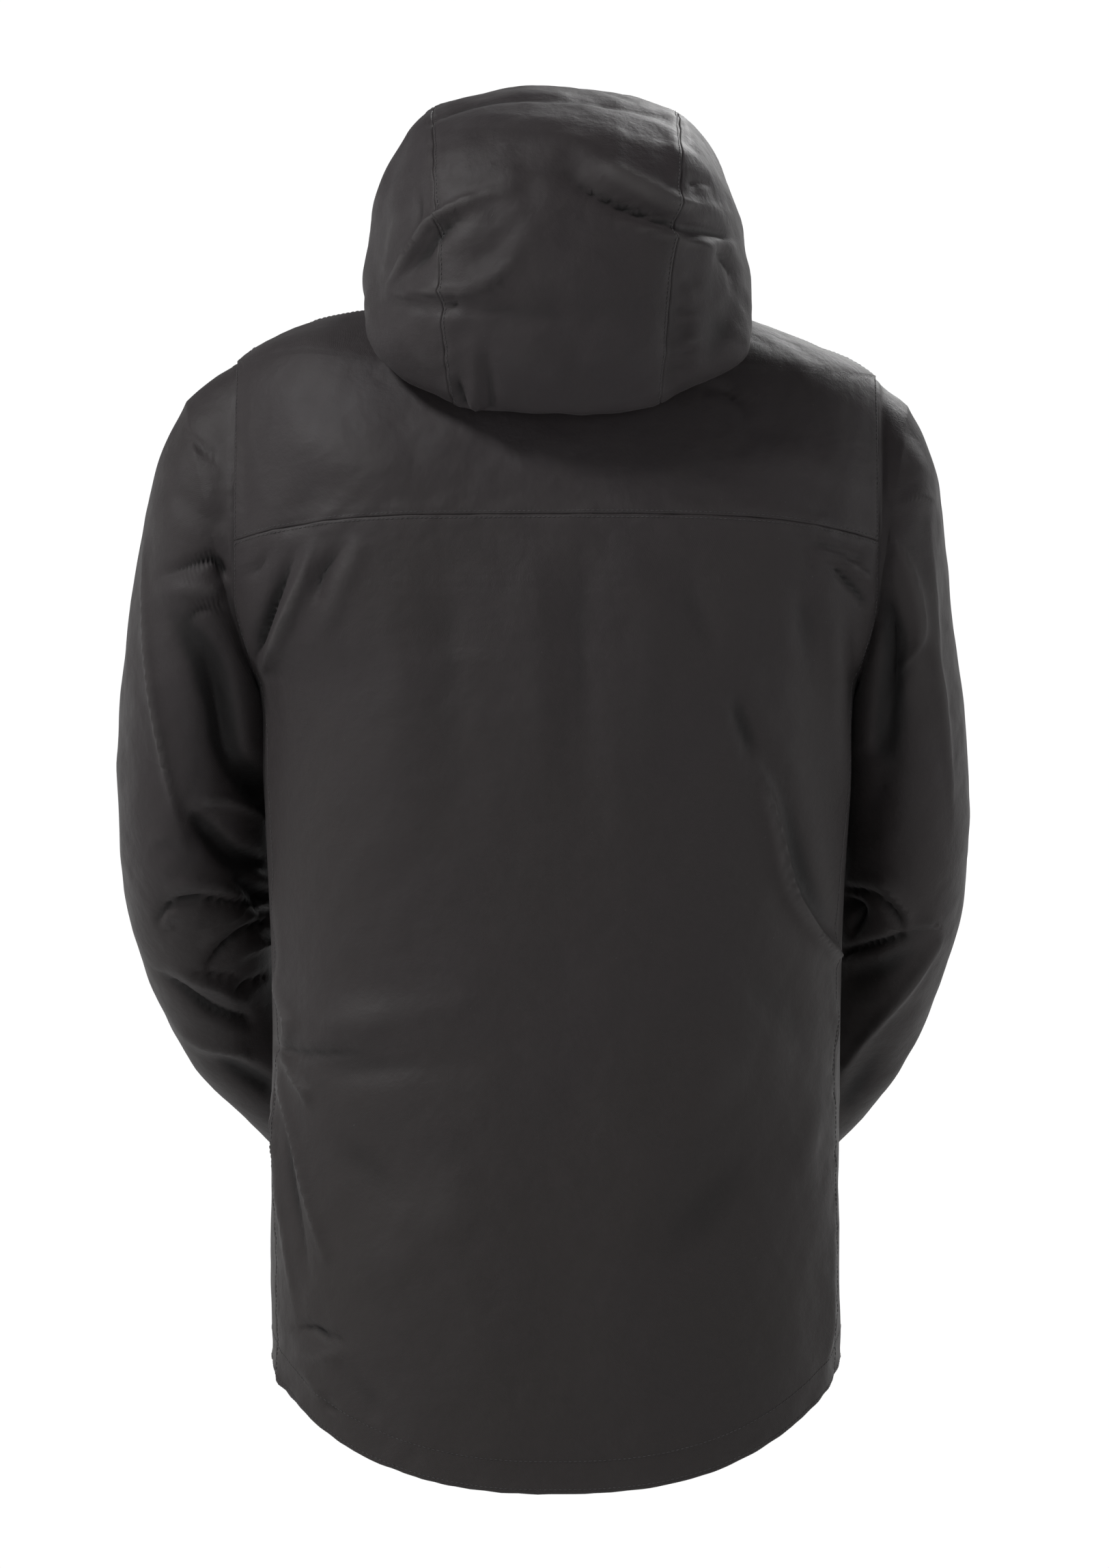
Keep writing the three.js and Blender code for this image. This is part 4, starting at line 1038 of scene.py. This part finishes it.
def cheek_row(first, last, fullness):
    t = np.linspace(0, 1, 10)[:, None]
    return mix(first, last, t) + np.sin(np.pi * t) * np.array(fullness, float)


def brim_spot(x, y, z):
    return np.array([x * hood_half, y * hood_back, z * hood_top])


def zip_edge(z):
    return np.array([zip_gap, -front_depth(z), z])


stations = np.array([
    net_row(neck_edge(90, 4), net["middle"]),
    net_row(neck_edge(48, 4), net["quarter"]),
    net_row(neck_edge(10, 4), net["side"]),
    cheek_row(neck_edge(-34, 3), brim_spot(0.72, -0.4, 0.62), (28, 6, -4)),
    cheek_row(neck_edge(-64, 2), brim_spot(0.44, -0.47, 0.49), (12, -8, 0)),
    cheek_row(zip_edge(float(neck_z(np.array(-90.0))) + 1), zip_edge(60.0), (0, 0, 0)),
])
print("hood stations", stations.shape)


# %% Hood surface and its panels
def hood(across, along):
    across, along = np.broadcast_arrays(across, along)
    rings = np.stack([curve(row, along) for row in stations], -2)
    mirrored = rings[..., :0:-1, :] * np.array([-1, 1, 1])
    return curve(np.concatenate([mirrored, rings], -2), (across + 1) / 2)


def hood_moves(grid, out):
    seen = smooth((out[..., 1] + 0.05) / 0.35) * smooth((grid[..., 1] + 40) / 60)
    return 1.35 * folds(from_behind(grid), hood_folds) * seen + 0.9 * swell(grid, 70, 31) + 0.5 * swell(grid, 30, 32)


def slumped(form):
    x, y, z = form[..., 0], form[..., 1], form[..., 2]
    corner = np.exp(-(((z + 50) / 32) ** 2)) * smooth((np.abs(x) - 78) / 34) * smooth((y - 20) / 40)
    moved = form.copy()
    moved[..., 0] += np.where(x < 0, -21, 14) * corner
    return moved


hood_heart = np.array([0, 30.0, 30.0])


def hood_panel(name, first, last, width):
    s, t = np.meshgrid(spaced(width, 3.6), spaced(560, 3.6))
    return panel(name, slumped(hood(mix(first, last, s), t)), hood_heart, hood_moves)


hood_seam = 0.2
hood_pieces = {
    "hood_centre_panel": hood_panel("hood_centre", hood_seam, -hood_seam, 170),
    "hood_side_left": hood_panel("hood_left", 1.0, hood_seam, 300),
    "hood_side_right": hood_panel("hood_right", -hood_seam, -1.0, 300),
}


# %% Peak
peak_reach = 42


def peak_form():
    s, t = np.meshgrid(spaced(210, 3.5), spaced(44, 2.6))
    edge = hood(mix(0.3, -0.3, s), np.ones_like(s))
    bow = 1 - (2 * s - 1) ** 2
    forward = 0.3 + t * peak_reach * (0.25 + 0.75 * bow)
    return edge + forward[..., None] * np.array([0, -1, -0.06]) + np.array([0, 0, 1.2])


peak_grid = peak_form()
below_peak = peak_grid - np.array([0, 0, 50.0])
peak = panel("hood_peak", peak_grid, below_peak, None, thick=3.0, looks=[shell, shell], calm=0.3)
hood_pieces["hood_brim"] = peak
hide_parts("brim_stiffener")

# %% Hood pieces stay where they are made
for node, piece in hood_pieces.items():
    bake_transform(piece)
    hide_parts(node)
print("hood pieces", sorted(hood_pieces))

# %% [markdown]
# ## Sleeves
# Each sleeve is a tube lofted through slanted ovals from the armhole seam, bent at the elbow towards the pockets.
# Four parts follow one another: sleeve, elbow panel, forearm and cuff. The elbow folds deeply on its inner side.


# %% Sleeve stations
elbow_z = -372.0
# Room between body and elbow, half the elbow's width, and how far the sleeve's head stands out.
arm_room = {"left": (12, 47, 36), "right": (6, 42, 23)}
# Share of the way to the elbow, starts on the shoulder and below the armpit, half depth, and y.
upper_arm = [
    (0, 22, 8, 80, 0), (0.38, 58, 20, 82, 0), (0.66, 110, 32, 83, -3), (0.86, 172, 46, 81, -9), (1, 234, 63, 77, -20),
]


def body_side(z):
    return float(section(1, np.array(float(z))))


def sleeve_stations(side):
    gap, half, head = arm_room[side]
    elbow = np.array([body_side(elbow_z) + gap + half, -40.0, elbow_z])
    middles, ups, depths = [], [], []
    for rise, start, end, depth, y in upper_arm:
        high = np.array([mix(shoulder_half + head, elbow[0] + half, rise), y, -50.0 - start])
        z = armpit_z - end
        low = np.array([body_side(z) + 5, y, z])
        middles.append((high + low) / 2)
        ups.append((high - low) / 2)
        depths.append(np.array([0, float(depth), 0]))
    wrist_z = elbow_z - 222
    wrist_x = body_side(wrist_z) - 48
    wrist_y = float(torso(-angle_at(np.array(wrist_x), np.array(wrist_z)), wrist_z)[1]) - 24 - 53
    wrist = np.array([wrist_x, wrist_y, wrist_z])
    early, late = np.array((0.075, 0.265, 0.3)), np.array((0.33, 0.62, 0.62))
    hand = wrist + np.array([-24, -18, -30.0])
    path = [elbow, mix(elbow, wrist, early), mix(elbow, wrist, late), wrist, hand]
    for k, (wide, deep) in enumerate([(half, 70), (half + 2, 64), (48, 58), (47, 53), (47, 52)]):
        along = path[min(4, k + 1)] - path[max(0, k - 1)]
        if k == 0:
            along = np.array([-0.05, -0.4, -1.0])
        along = along / np.linalg.norm(along)
        u = np.array([1.0, 0, 0]) - along * along[0]
        u /= np.linalg.norm(u)
        v = np.cross(along, u)
        v /= np.linalg.norm(v)
        middles.append(path[k])
        ups.append(u * wide)
        depths.append((v if v[1] > 0 else -v) * deep)
    return np.array(middles), np.array(ups), np.array(depths)


# %% Sleeve surface
ring_middle, ring_half, ring_inset = -160, 109.6, 2.4


def armhole_ring(turn):
    angle = 2 * np.pi * turn
    z = ring_middle + ring_half * np.cos(angle)
    facing = np.where(np.sin(angle) < 0, -1.0, 1.0)
    spot = torso(armhole_angle(z) * facing, z)
    return np.stack([armhole_x(z) - ring_inset, spot[..., 1] * 0.99 - 0.5 * facing, z], -1)


def sleeve_surface(side, sign):
    middles, ups, depths = sleeve_stations(side)
    root = 1 / len(middles)
    tuck = 12.5 if sign > 0 else 8.0

    def at(turn, along):
        turn, along = np.broadcast_arrays(turn, along)
        t = np.clip((along - root) / (1 - root), 0, 1)
        a = (2 * np.pi * turn)[..., None]
        spot = curve(middles, t) + curve(ups, t) * np.cos(a) + curve(depths, t) * np.sin(a)
        share = np.clip(1 - along / root, 0, 1)[..., None]
        close = np.maximum(0, -np.cos(2 * np.pi * turn)) ** 2 * mix(0.6, 1, smooth(t / 0.1)) * smooth((0.74 - t) / 0.1)
        spot = spot - np.array([tuck, 0, 0]) * close[..., None]
        return mix(spot, armhole_ring(turn), share) * np.array([sign, 1, 1])

    return at, lambda along: curve(middles, np.clip((along - root) / (1 - root), 0, 1)) * np.array([sign, 1, 1])


# %% Folds on a sleeve
def sleeve_moves(sign, turn, along):
    drawn = left_sleeve_folds if sign > 0 else right_sleeve_folds
    seed = 40 if sign > 0 else 60

    def moves(grid, out):
        outside = np.abs(grid[..., 0])
        seen = smooth((out[..., 1] - 0.02) / 0.5)
        clear = mix(1.0, smooth((outside - 214) / 22), smooth((grid[..., 2] + 350) / 40))
        behind = folds(from_behind(grid), drawn)
        # The inner side of the elbow is crushed into rings.
        bend = np.exp(-(((along - 0.59) / 0.075) ** 2))
        front = smooth((-np.sin(2 * np.pi * turn) - 0.1) / 0.6) * smooth((outside - 210) / 24)
        rings = np.sin(2 * np.pi * (along * 16 + 0.3 * np.sin(2 * np.pi * turn) + 0.22 * swell(grid, 90, seed)))
        crush = bend * front * 4.0 * (rings - 0.1)
        drape = 1.3 * swell(grid, 62, seed + 1, (1, 1, 1.8)) * clear * (1 - 0.75 * np.abs(np.cos(2 * np.pi * turn)))
        # The two pieces of a sleeve meet in a groove over and under the arm, 420 mm being the way round.
        seam = np.minimum(np.abs(turn), np.minimum(np.abs(turn - 0.5), np.abs(turn - 1))) * 420
        free = smooth(along / 0.05)
        groove = -0.9 * np.exp(-((seam / 1.4) ** 2))
        return free * (1.3 * behind * seen * clear + crush + drape * (1 - 0.6 * seen)) + groove

    return moves


# %% Sleeve tubes
elbow_start, elbow_end, cuff_start = 0.53, 0.66, 0.955
# Where each part starts and ends along the tube, its length in millimetres, and its sewn ends.
parts = {
    "sleeve": (0.0, elbow_start, 390, "foot"),
    "elbow": (elbow_start, elbow_end, 62, ""),
    "forearm": (elbow_end, cuff_start, 175, "top"),
    "cuff": (cuff_start, 1.0, 36, "foot top"),
}
stands_for = {
    "sleeve": ["sleeve_front", "sleeve_back"],
    "elbow": ["elbow_panel"],
    "forearm": ["forearm_front", "forearm_back"],
    "cuff": ["cuff"],
}
arms = {}
for side, sign in sides.items():
    surface, middle = sleeve_surface(side, sign)
    around = np.concatenate([[0.0, 0.0035, 0.008], np.linspace(0.018, 0.482, 62), [0.492, 0.4965]])
    around = np.concatenate([around, around + 0.5])
    for name, (start, end, length, seams) in parts.items():
        rows = spaced(length, 3.0) if seams else np.linspace(0, 1, 28)
        if seams in ("foot", "top"):
            rows = np.concatenate([rows[:-5], [1.0]]) if seams == "foot" else np.concatenate([[0.0], rows[5:]])
        turn, along = np.meshgrid(around, mix(start, end, rows))
        form = surface(turn, along)
        moves = sleeve_moves(sign, turn, along)
        thick = fabric if name != "cuff" else 2.0
        arms[name, side] = panel(f"{name}_{side}", form, middle(along), moves, seams, wrap=True, thick=thick)

# %% How the sleeves move
for side in sides:
    upper, lower = f"upper_sleeve_{side}", f"lower_sleeve_{side}"
    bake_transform(arms["sleeve", side])
    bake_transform(arms["elbow", side])
    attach(arms["forearm", side], lower)
    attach(arms["cuff", side], lower)
    for name, nodes in stands_for.items():
        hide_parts(*[f"{node}_{side}" for node in nodes])

# %% [markdown]
# ## Cuff tabs
# A stitched tab wraps the cuff's back and holds on a patch of hook tape. Both are strips laid round the cuff.


# %% Cuff tab and patch
cuff_radius, cuff_middle, cuff_share = 50, 0.9775, 0.045


def cuff_strip(name, side, sign, start, length, width, lift, thick, looks):
    surface, middle = sleeve_surface(side, sign)
    cuff_ends = [surface(np.array(0.0), np.array(end)) for end in (1.0, cuff_start)]
    full = float(np.linalg.norm(cuff_ends[0] - cuff_ends[1]))
    s, t = np.meshgrid(spaced(length, 2.6), spaced(width, 2.6))
    turn = (start - s * length / (2 * math.pi * cuff_radius)) % 1
    along = cuff_middle + (t - 0.5) * width / full * cuff_share
    form = surface(turn, along)
    core = middle(along)
    away = form - core
    form = form + away / np.linalg.norm(away, axis=-1, keepdims=True) * lift
    return panel(name, form, core, None, thick=thick, looks=looks, calm=0.15)


for side, sign in sides.items():
    patch = cuff_strip(f"cuff_patch_strip_{side}", side, sign, 0.18, 52, 20, 2.6, 0.9, [lining, lining])
    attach(patch, f"lower_sleeve_{side}")
    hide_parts(f"cuff_patch_{side}")
    tab = cuff_strip(f"cuff_tab_strip_{side}", side, sign, 0.2, 62, 26, 5.0, 1.6, [shell, lining])
    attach(tab, f"cuff_tab_{side}")
    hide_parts(f"cuff_tab_{side}")

# %% [markdown]
# ## Inside pieces
# A brushed collar lining stands inside the neck, a facing backs the hem, mesh bags hang behind the pocket zips, and
# a flap and chin guard lie behind the front zip. They are sheets as well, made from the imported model's forms.


# %% Collar lining and hem facing
def lining_piece(name, form, inside, body, node, thick, looks=None):
    piece = panel(name, form, inside, None, thick=thick, looks=looks or [lining, lining], calm=0.35)
    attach(piece, body)
    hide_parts(node)
    return piece


collar_half, collar_back, collar_top, collar_dip = 74, 63, 52.0, 26.0


def collar_form():
    s, t = np.meshgrid(spaced(420, 4.0), spaced(58, 3.2))
    angle = mix(-68.0, 248.0, s)
    across = np.sin(np.radians(angle))
    top = mix(collar_top, collar_dip, np.maximum(0, across))
    z = mix(neck_z(angle) + 4, top, t)
    lean = mix(1.0, 0.93, t)
    depth = np.where(across > 0, collar_back * lean, front_depth(z) - 4)
    return np.stack([collar_half * lean * np.cos(np.radians(angle)), depth * across, z], -1)


def facing_form():
    s, t = np.meshgrid(spaced(1180, 5.0), spaced(24, 3.0))
    reach = math.degrees(math.asin(27.5 / 201))
    angle = mix(-90 + reach, 270 - reach, s)
    z = hem_z(angle) + 1.5 + t * 24
    spot = torso(angle, z)
    inward = spot * np.array([1, 1.3, 0])
    return spot - inward / np.linalg.norm(inward, axis=-1, keepdims=True) * 3.6


collar_grid, facing_grid = collar_form(), facing_form()
lining_piece("collar_lining", collar_grid, trunk_core(collar_grid), "jacket", "inner_collar", 1.0)
lining_piece("hem_facing", facing_grid, trunk_core(facing_grid), "jacket", "hem_tunnel", 0.8)


# %% Pocket bags
bag_wide, bag_deep, bag_middle, bag_top = 118, 190, 90, -497


def bag_form(sign):
    s, t = np.meshgrid(spaced(bag_wide, 4.5), spaced(bag_deep, 4.5))
    x = sign * (bag_middle + (s - 0.5) * bag_wide)
    z = bag_top - t * bag_deep
    angle = -angle_at(np.abs(x), z)
    spot = torso(np.where(x < 0, 180 - angle, angle), z)
    inward = spot * np.array([0.4, 1, 0])
    return spot - inward / np.linalg.norm(inward, axis=-1, keepdims=True) * 6.7


for side, sign in sides.items():
    form = bag_form(sign)
    lining_piece(f"pocket_mesh_{side}", form, trunk_core(form), "jacket", f"pocket_bag_{side}", 0.8)


# %% Zip flap and chin guard
def strip_behind_zip(node, name, thick, looks):
    low, high = (np.array(corner) * 1000 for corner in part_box(node))
    s, t = np.meshgrid(spaced(high[0] - low[0], 3.0), spaced(high[2] - low[2], 4.5))
    z = mix(low[2], high[2], t)
    gap = np.mean([low[1] + front_depth(low[2]), high[1] + front_depth(high[2])])
    form = np.stack([mix(low[0], high[0], s), -front_depth(z) + gap - 0.3, z], -1)
    return lining_piece(name, form, form + np.array([0, 40.0, 0]), "jacket", node, thick, looks)


strip_behind_zip("storm_flap", "zip_flap", 1.1, [shell, backer])
strip_behind_zip("chin_guard", "chin_pad", 1.2, [lining, lining])


# %% [markdown]
# ## Hard parts
# Sliders, pulls, eyelets and the zip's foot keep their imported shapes. Cast and moulded parts never have knife edges,
# so each gets a small bevel; the zip tapes stay as they are and get a woven finish.


# %% Bevelled hard parts
def bevelled(node, name, width, look, slot):
    source = frame["nodes"][node]
    work = bmesh.new()
    work.from_mesh(source.data)
    bmesh.ops.remove_doubles(work, verts=work.verts, dist=1e-6)
    bmesh.ops.dissolve_limit(work, angle_limit=0.02, verts=work.verts, edges=work.edges)
    mesh = bpy.data.meshes.new(name)
    work.to_mesh(mesh)
    piece = add_object(name, mesh)
    bevel = piece.modifiers.new("soft edges", "BEVEL")
    bevel.width, bevel.segments, bevel.limit_method = width, 2, "ANGLE"
    bevel.harden_normals = True
    finished = baked(piece)
    piece.modifiers.clear()
    piece.data = finished
    piece.data.materials.clear()
    piece.data.materials.append(look)
    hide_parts(node)
    return piece


hard_parts = [
    ("zip_slider", "slider_cast", 0.00025, metal, "metal"),
    ("zip_pull_tab", "pull_cast", 0.0002, metal, "metal"),
    ("zip_puller", "puller_grip", 0.0007, moulded, "plastic"),
    ("zip_retainer_box", "zip_foot", 0.0003, moulded, "plastic"),
    ("hem_eyelet_left", "hem_ring_left", 0.00015, metal, "metal"),
    ("hem_eyelet_right", "hem_ring_right", 0.00015, metal, "metal"),
    ("hanger_loop", "locker_loop", 0.0003, tape, "tape"),
]
for side in sides:
    hard_parts.append((f"pocket_{side}_slider", f"pocket_slider_cast_{side}", 0.00025, metal, "metal"))
    hard_parts.append((f"pocket_{side}_pull_tab", f"pocket_pull_cast_{side}", 0.0002, metal, "metal"))
for node, name, width, look, slot in hard_parts:
    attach(bevelled(node, name, width, look, slot), frame["nodes"][node]["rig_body"])
for side in sides:
    ring = bevelled(f"hood_eyelet_{side}", f"hood_ring_{side}", 0.00015, metal, "metal")
    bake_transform(ring)
for node in ["zip_tape_left", "zip_tape_right", "pocket_zip_left", "pocket_zip_right"]:
    frame["nodes"][node].data.materials.clear()
    frame["nodes"][node].data.materials.append(tape)
print("hard parts", len(hard_parts) + 2)

# %% [markdown]
# ## Stitching and zip teeth
# Both are one small shape repeated along a line, which is what Geometry Nodes do best: a curve is resampled at the
# stitch length, a short rounded bar is set on each point and turned along the line, and the copies become a mesh.


# %% The repeating tree
def bar_tree():
    tree = bpy.data.node_groups.new("bars along a line", "GeometryNodeTree")
    inputs = [
        ("Geometry", "Geometry", None), ("Spacing", "Float", 0.0032), ("Length", "Float", 0.0024),
        ("Radius", "Float", 0.0003), ("Across", "Vector", None), ("Loose", "Float", 0.06), ("Seed", "Int", 7),
        ("Finish", "Material", None),
    ]
    for name, kind, start in inputs:
        made = tree.interface.new_socket(name, in_out="INPUT", socket_type=f"NodeSocket{kind}")
        if start is not None:
            made.default_value = start
    tree.interface.new_socket("Geometry", in_out="OUTPUT", socket_type="NodeSocketGeometry")
    given, result = tree.nodes.new("NodeGroupInput").outputs, tree.nodes.new("NodeGroupOutput")

    def add(kind, settings, sockets):
        made = tree.nodes.new(kind)
        for key, value in settings.items():
            setattr(made, key, value)
        for key, value in sockets.items():
            if isinstance(value, bpy.types.NodeSocket):
                tree.links.new(value, made.inputs[key])
            else:
                made.inputs[key].default_value = value
        return made.outputs

    steps = {"Curve": given["Geometry"], "Length": given["Spacing"]}
    even = add("GeometryNodeResampleCurve", {"mode": "LENGTH"}, steps)
    points = add("GeometryNodeCurveToPoints", {"mode": "EVALUATED"}, {"Curve": even["Curve"]})
    bar = add("GeometryNodeMeshUVSphere", {}, {"Segments": 6, "Rings": 4, "Radius": given["Radius"]})
    stretch = add("ShaderNodeMath", {"operation": "DIVIDE"}, {0: given["Length"], 1: given["Radius"]})
    half = add("ShaderNodeMath", {"operation": "MULTIPLY"}, {0: stretch[0], 1: 0.5})
    shape = add("ShaderNodeCombineXYZ", {}, {"X": 1, "Y": 1, "Z": half[0]})
    spread = {"Seed": given["Seed"], 0: (-1, -1, -1), 1: (1, 1, 1)}
    random = add("FunctionNodeRandomValue", {"data_type": "FLOAT_VECTOR"}, spread)
    sway = add("ShaderNodeVectorMath", {"operation": "SCALE"}, {0: random[0], "Scale": given["Loose"]})
    sized = add("ShaderNodeVectorMath", {"operation": "LENGTH"}, {0: given["Across"]})
    above = {"data_type": "FLOAT", "operation": "GREATER_THAN"}
    is_set = add("FunctionNodeCompare", above, {0: sized["Value"], 1: 0.5})
    ways = {"Switch": is_set[0], "False": points["Tangent"], "True": given["Across"]}
    pick = add("GeometryNodeSwitch", {"input_type": "VECTOR"}, ways)
    aim = add("ShaderNodeVectorMath", {"operation": "ADD"}, {0: pick[0], 1: sway[0]})
    turn = add("FunctionNodeAlignRotationToVector", {"axis": "Z"}, {"Vector": aim[0]})
    spots = {"Points": points["Points"], "Instance": bar["Mesh"]}
    spots.update({"Rotation": turn["Rotation"], "Scale": shape["Vector"]})
    copies = add("GeometryNodeInstanceOnPoints", {}, spots)
    real = add("GeometryNodeRealizeInstances", {}, {"Geometry": copies["Instances"]})
    smooth_bars = add("GeometryNodeSetShadeSmooth", {}, {"Geometry": real["Geometry"]})
    paint = add("GeometryNodeSetMaterial", {}, {"Geometry": smooth_bars["Geometry"], "Material": given["Finish"]})
    tree.links.new(paint["Geometry"], result.inputs["Geometry"])
    return tree


bars = bar_tree()
print("repeating tree", len(bars.nodes), "nodes")


# %% Bars along lines
def bars_along(name, lines, look, spacing, length, radius, across=(0, 0, 0), loose=0.06):
    drawn = bpy.data.curves.new(name, "CURVE")
    drawn.dimensions = "3D"
    for line in lines:
        spline = drawn.splines.new("POLY")
        spline.points.add(len(line) - 1)
        flat = np.concatenate([np.asarray(line) / 1000, np.ones((len(line), 1))], 1)
        spline.points.foreach_set("co", flat.astype(np.float32).ravel())
    source = add_object(name + " line", drawn)
    modifier = source.modifiers.new("bars", "NODES")
    modifier.node_group = bars
    values = {"Spacing": spacing, "Length": length, "Radius": radius, "Across": across}
    values.update({"Loose": loose, "Seed": 7, "Finish": look})
    for item in bars.interface.items_tree:
        if item.in_out == "INPUT" and item.name in values:
            modifier[item.identifier] = values[item.name]
    mesh = baked(source)
    bpy.data.objects.remove(source)
    piece = add_object(name, mesh)
    print(name, len(mesh.polygons), "faces")
    return piece


# %% Lines a fixed way in from a seam
def seam_line(name, edge, inset, lift=0.12):
    grid, out = piece_grid[name]
    grid = grid + out * lift
    ways = {"first": grid, "last": grid[:, ::-1], "foot": grid.swapaxes(0, 1), "top": grid[::-1].swapaxes(0, 1)}
    runs = ways[edge]
    reach = run_lengths(runs, 1)
    line = []
    for run, far in zip(runs, reach):
        line.append([np.interp(inset, far, run[:, k]) for k in range(3)])
    return np.array(line)


def closed_line(name, edge, inset):
    line = seam_line(name, edge, inset)
    return np.vstack([line, line[:1]])


def seam_lines(name, *places):
    return [seam_line(name, edge, inset) for edge, inset in places]


near_seam, near_hem, tunnel_top = 2.6, 3.5, 23
both_sides = ("first", near_seam), ("last", near_seam)
hem_rows = ("foot", near_hem), ("foot", tunnel_top)
jacket_lines = seam_lines("jacket_back", ("top", near_seam), *both_sides, *hem_rows)
jacket_lines += seam_lines("jacket_back_yoke", *both_sides, ("foot", near_seam))
for side in sides:
    for name in ("jacket_front", "jacket_front_yoke"):
        jacket_lines += seam_lines(f"{name}_{side}", *both_sides)
    jacket_lines += seam_lines(f"jacket_front_{side}", ("top", near_seam), *hem_rows)
    jacket_lines += seam_lines(f"jacket_side_{side}", *hem_rows)
hood_lines = seam_lines("hood_centre", *both_sides)
hood_lines += [seam_line("hood_left", "top", 14), seam_line("hood_right", "top", 14)]
hood_lines += seam_lines("hood_centre", ("top", near_seam))
hood_lines += seam_lines("hood_peak", ("top", 4), ("top", 12), ("top", 20))
stitch = (thread, 0.0034, 0.0025, 0.00032)
body_stitches = bars_along("stitching_jacket", jacket_lines, *stitch)
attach(body_stitches, "jacket")
hood_stitches = bars_along("stitching_hood", hood_lines, *stitch)
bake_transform(hood_stitches)
for side in sides:
    upper, lower = f"upper_sleeve_{side}", f"lower_sleeve_{side}"
    head = bars_along(f"stitching_armhole_{side}", [closed_line(f"sleeve_{side}", "foot", near_seam)], *stitch)
    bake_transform(head)
    ends = [closed_line(f"forearm_{side}", "top", near_seam), closed_line(f"cuff_{side}", "top", 3)]
    ends.append(closed_line(f"cuff_{side}", "foot", near_seam))
    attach(bars_along(f"stitching_cuff_{side}", ends, *stitch), lower)
    tab_lines = [seam_line(f"cuff_tab_strip_{side}", edge, 2.5) for edge in ("first", "last", "foot", "top")]
    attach(bars_along(f"stitching_tab_{side}", tab_lines, *stitch), f"cuff_tab_{side}")


# %% Zip teeth
def teeth(side):
    low, high = (np.array(corner) * 1000 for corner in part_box(f"zip_coil_{side}"))
    x = (low[0] + high[0]) / 2
    line = [(x, low[1] + 0.85, low[2] + 1), (x, high[1] - 0.85, high[2] - 1)]
    return bars_along(f"zip_teeth_{side}", [line], moulded, 0.0019, 0.003, 0.0008, across=(1, 0, 0), loose=0.0)


for side in sides:
    row = teeth(side)
    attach(row, "jacket")
    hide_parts(f"zip_coil_{side}")

# %% [markdown]
# ## Last update
# The view layer is brought up to date at the end.

bpy.context.view_layer.update()
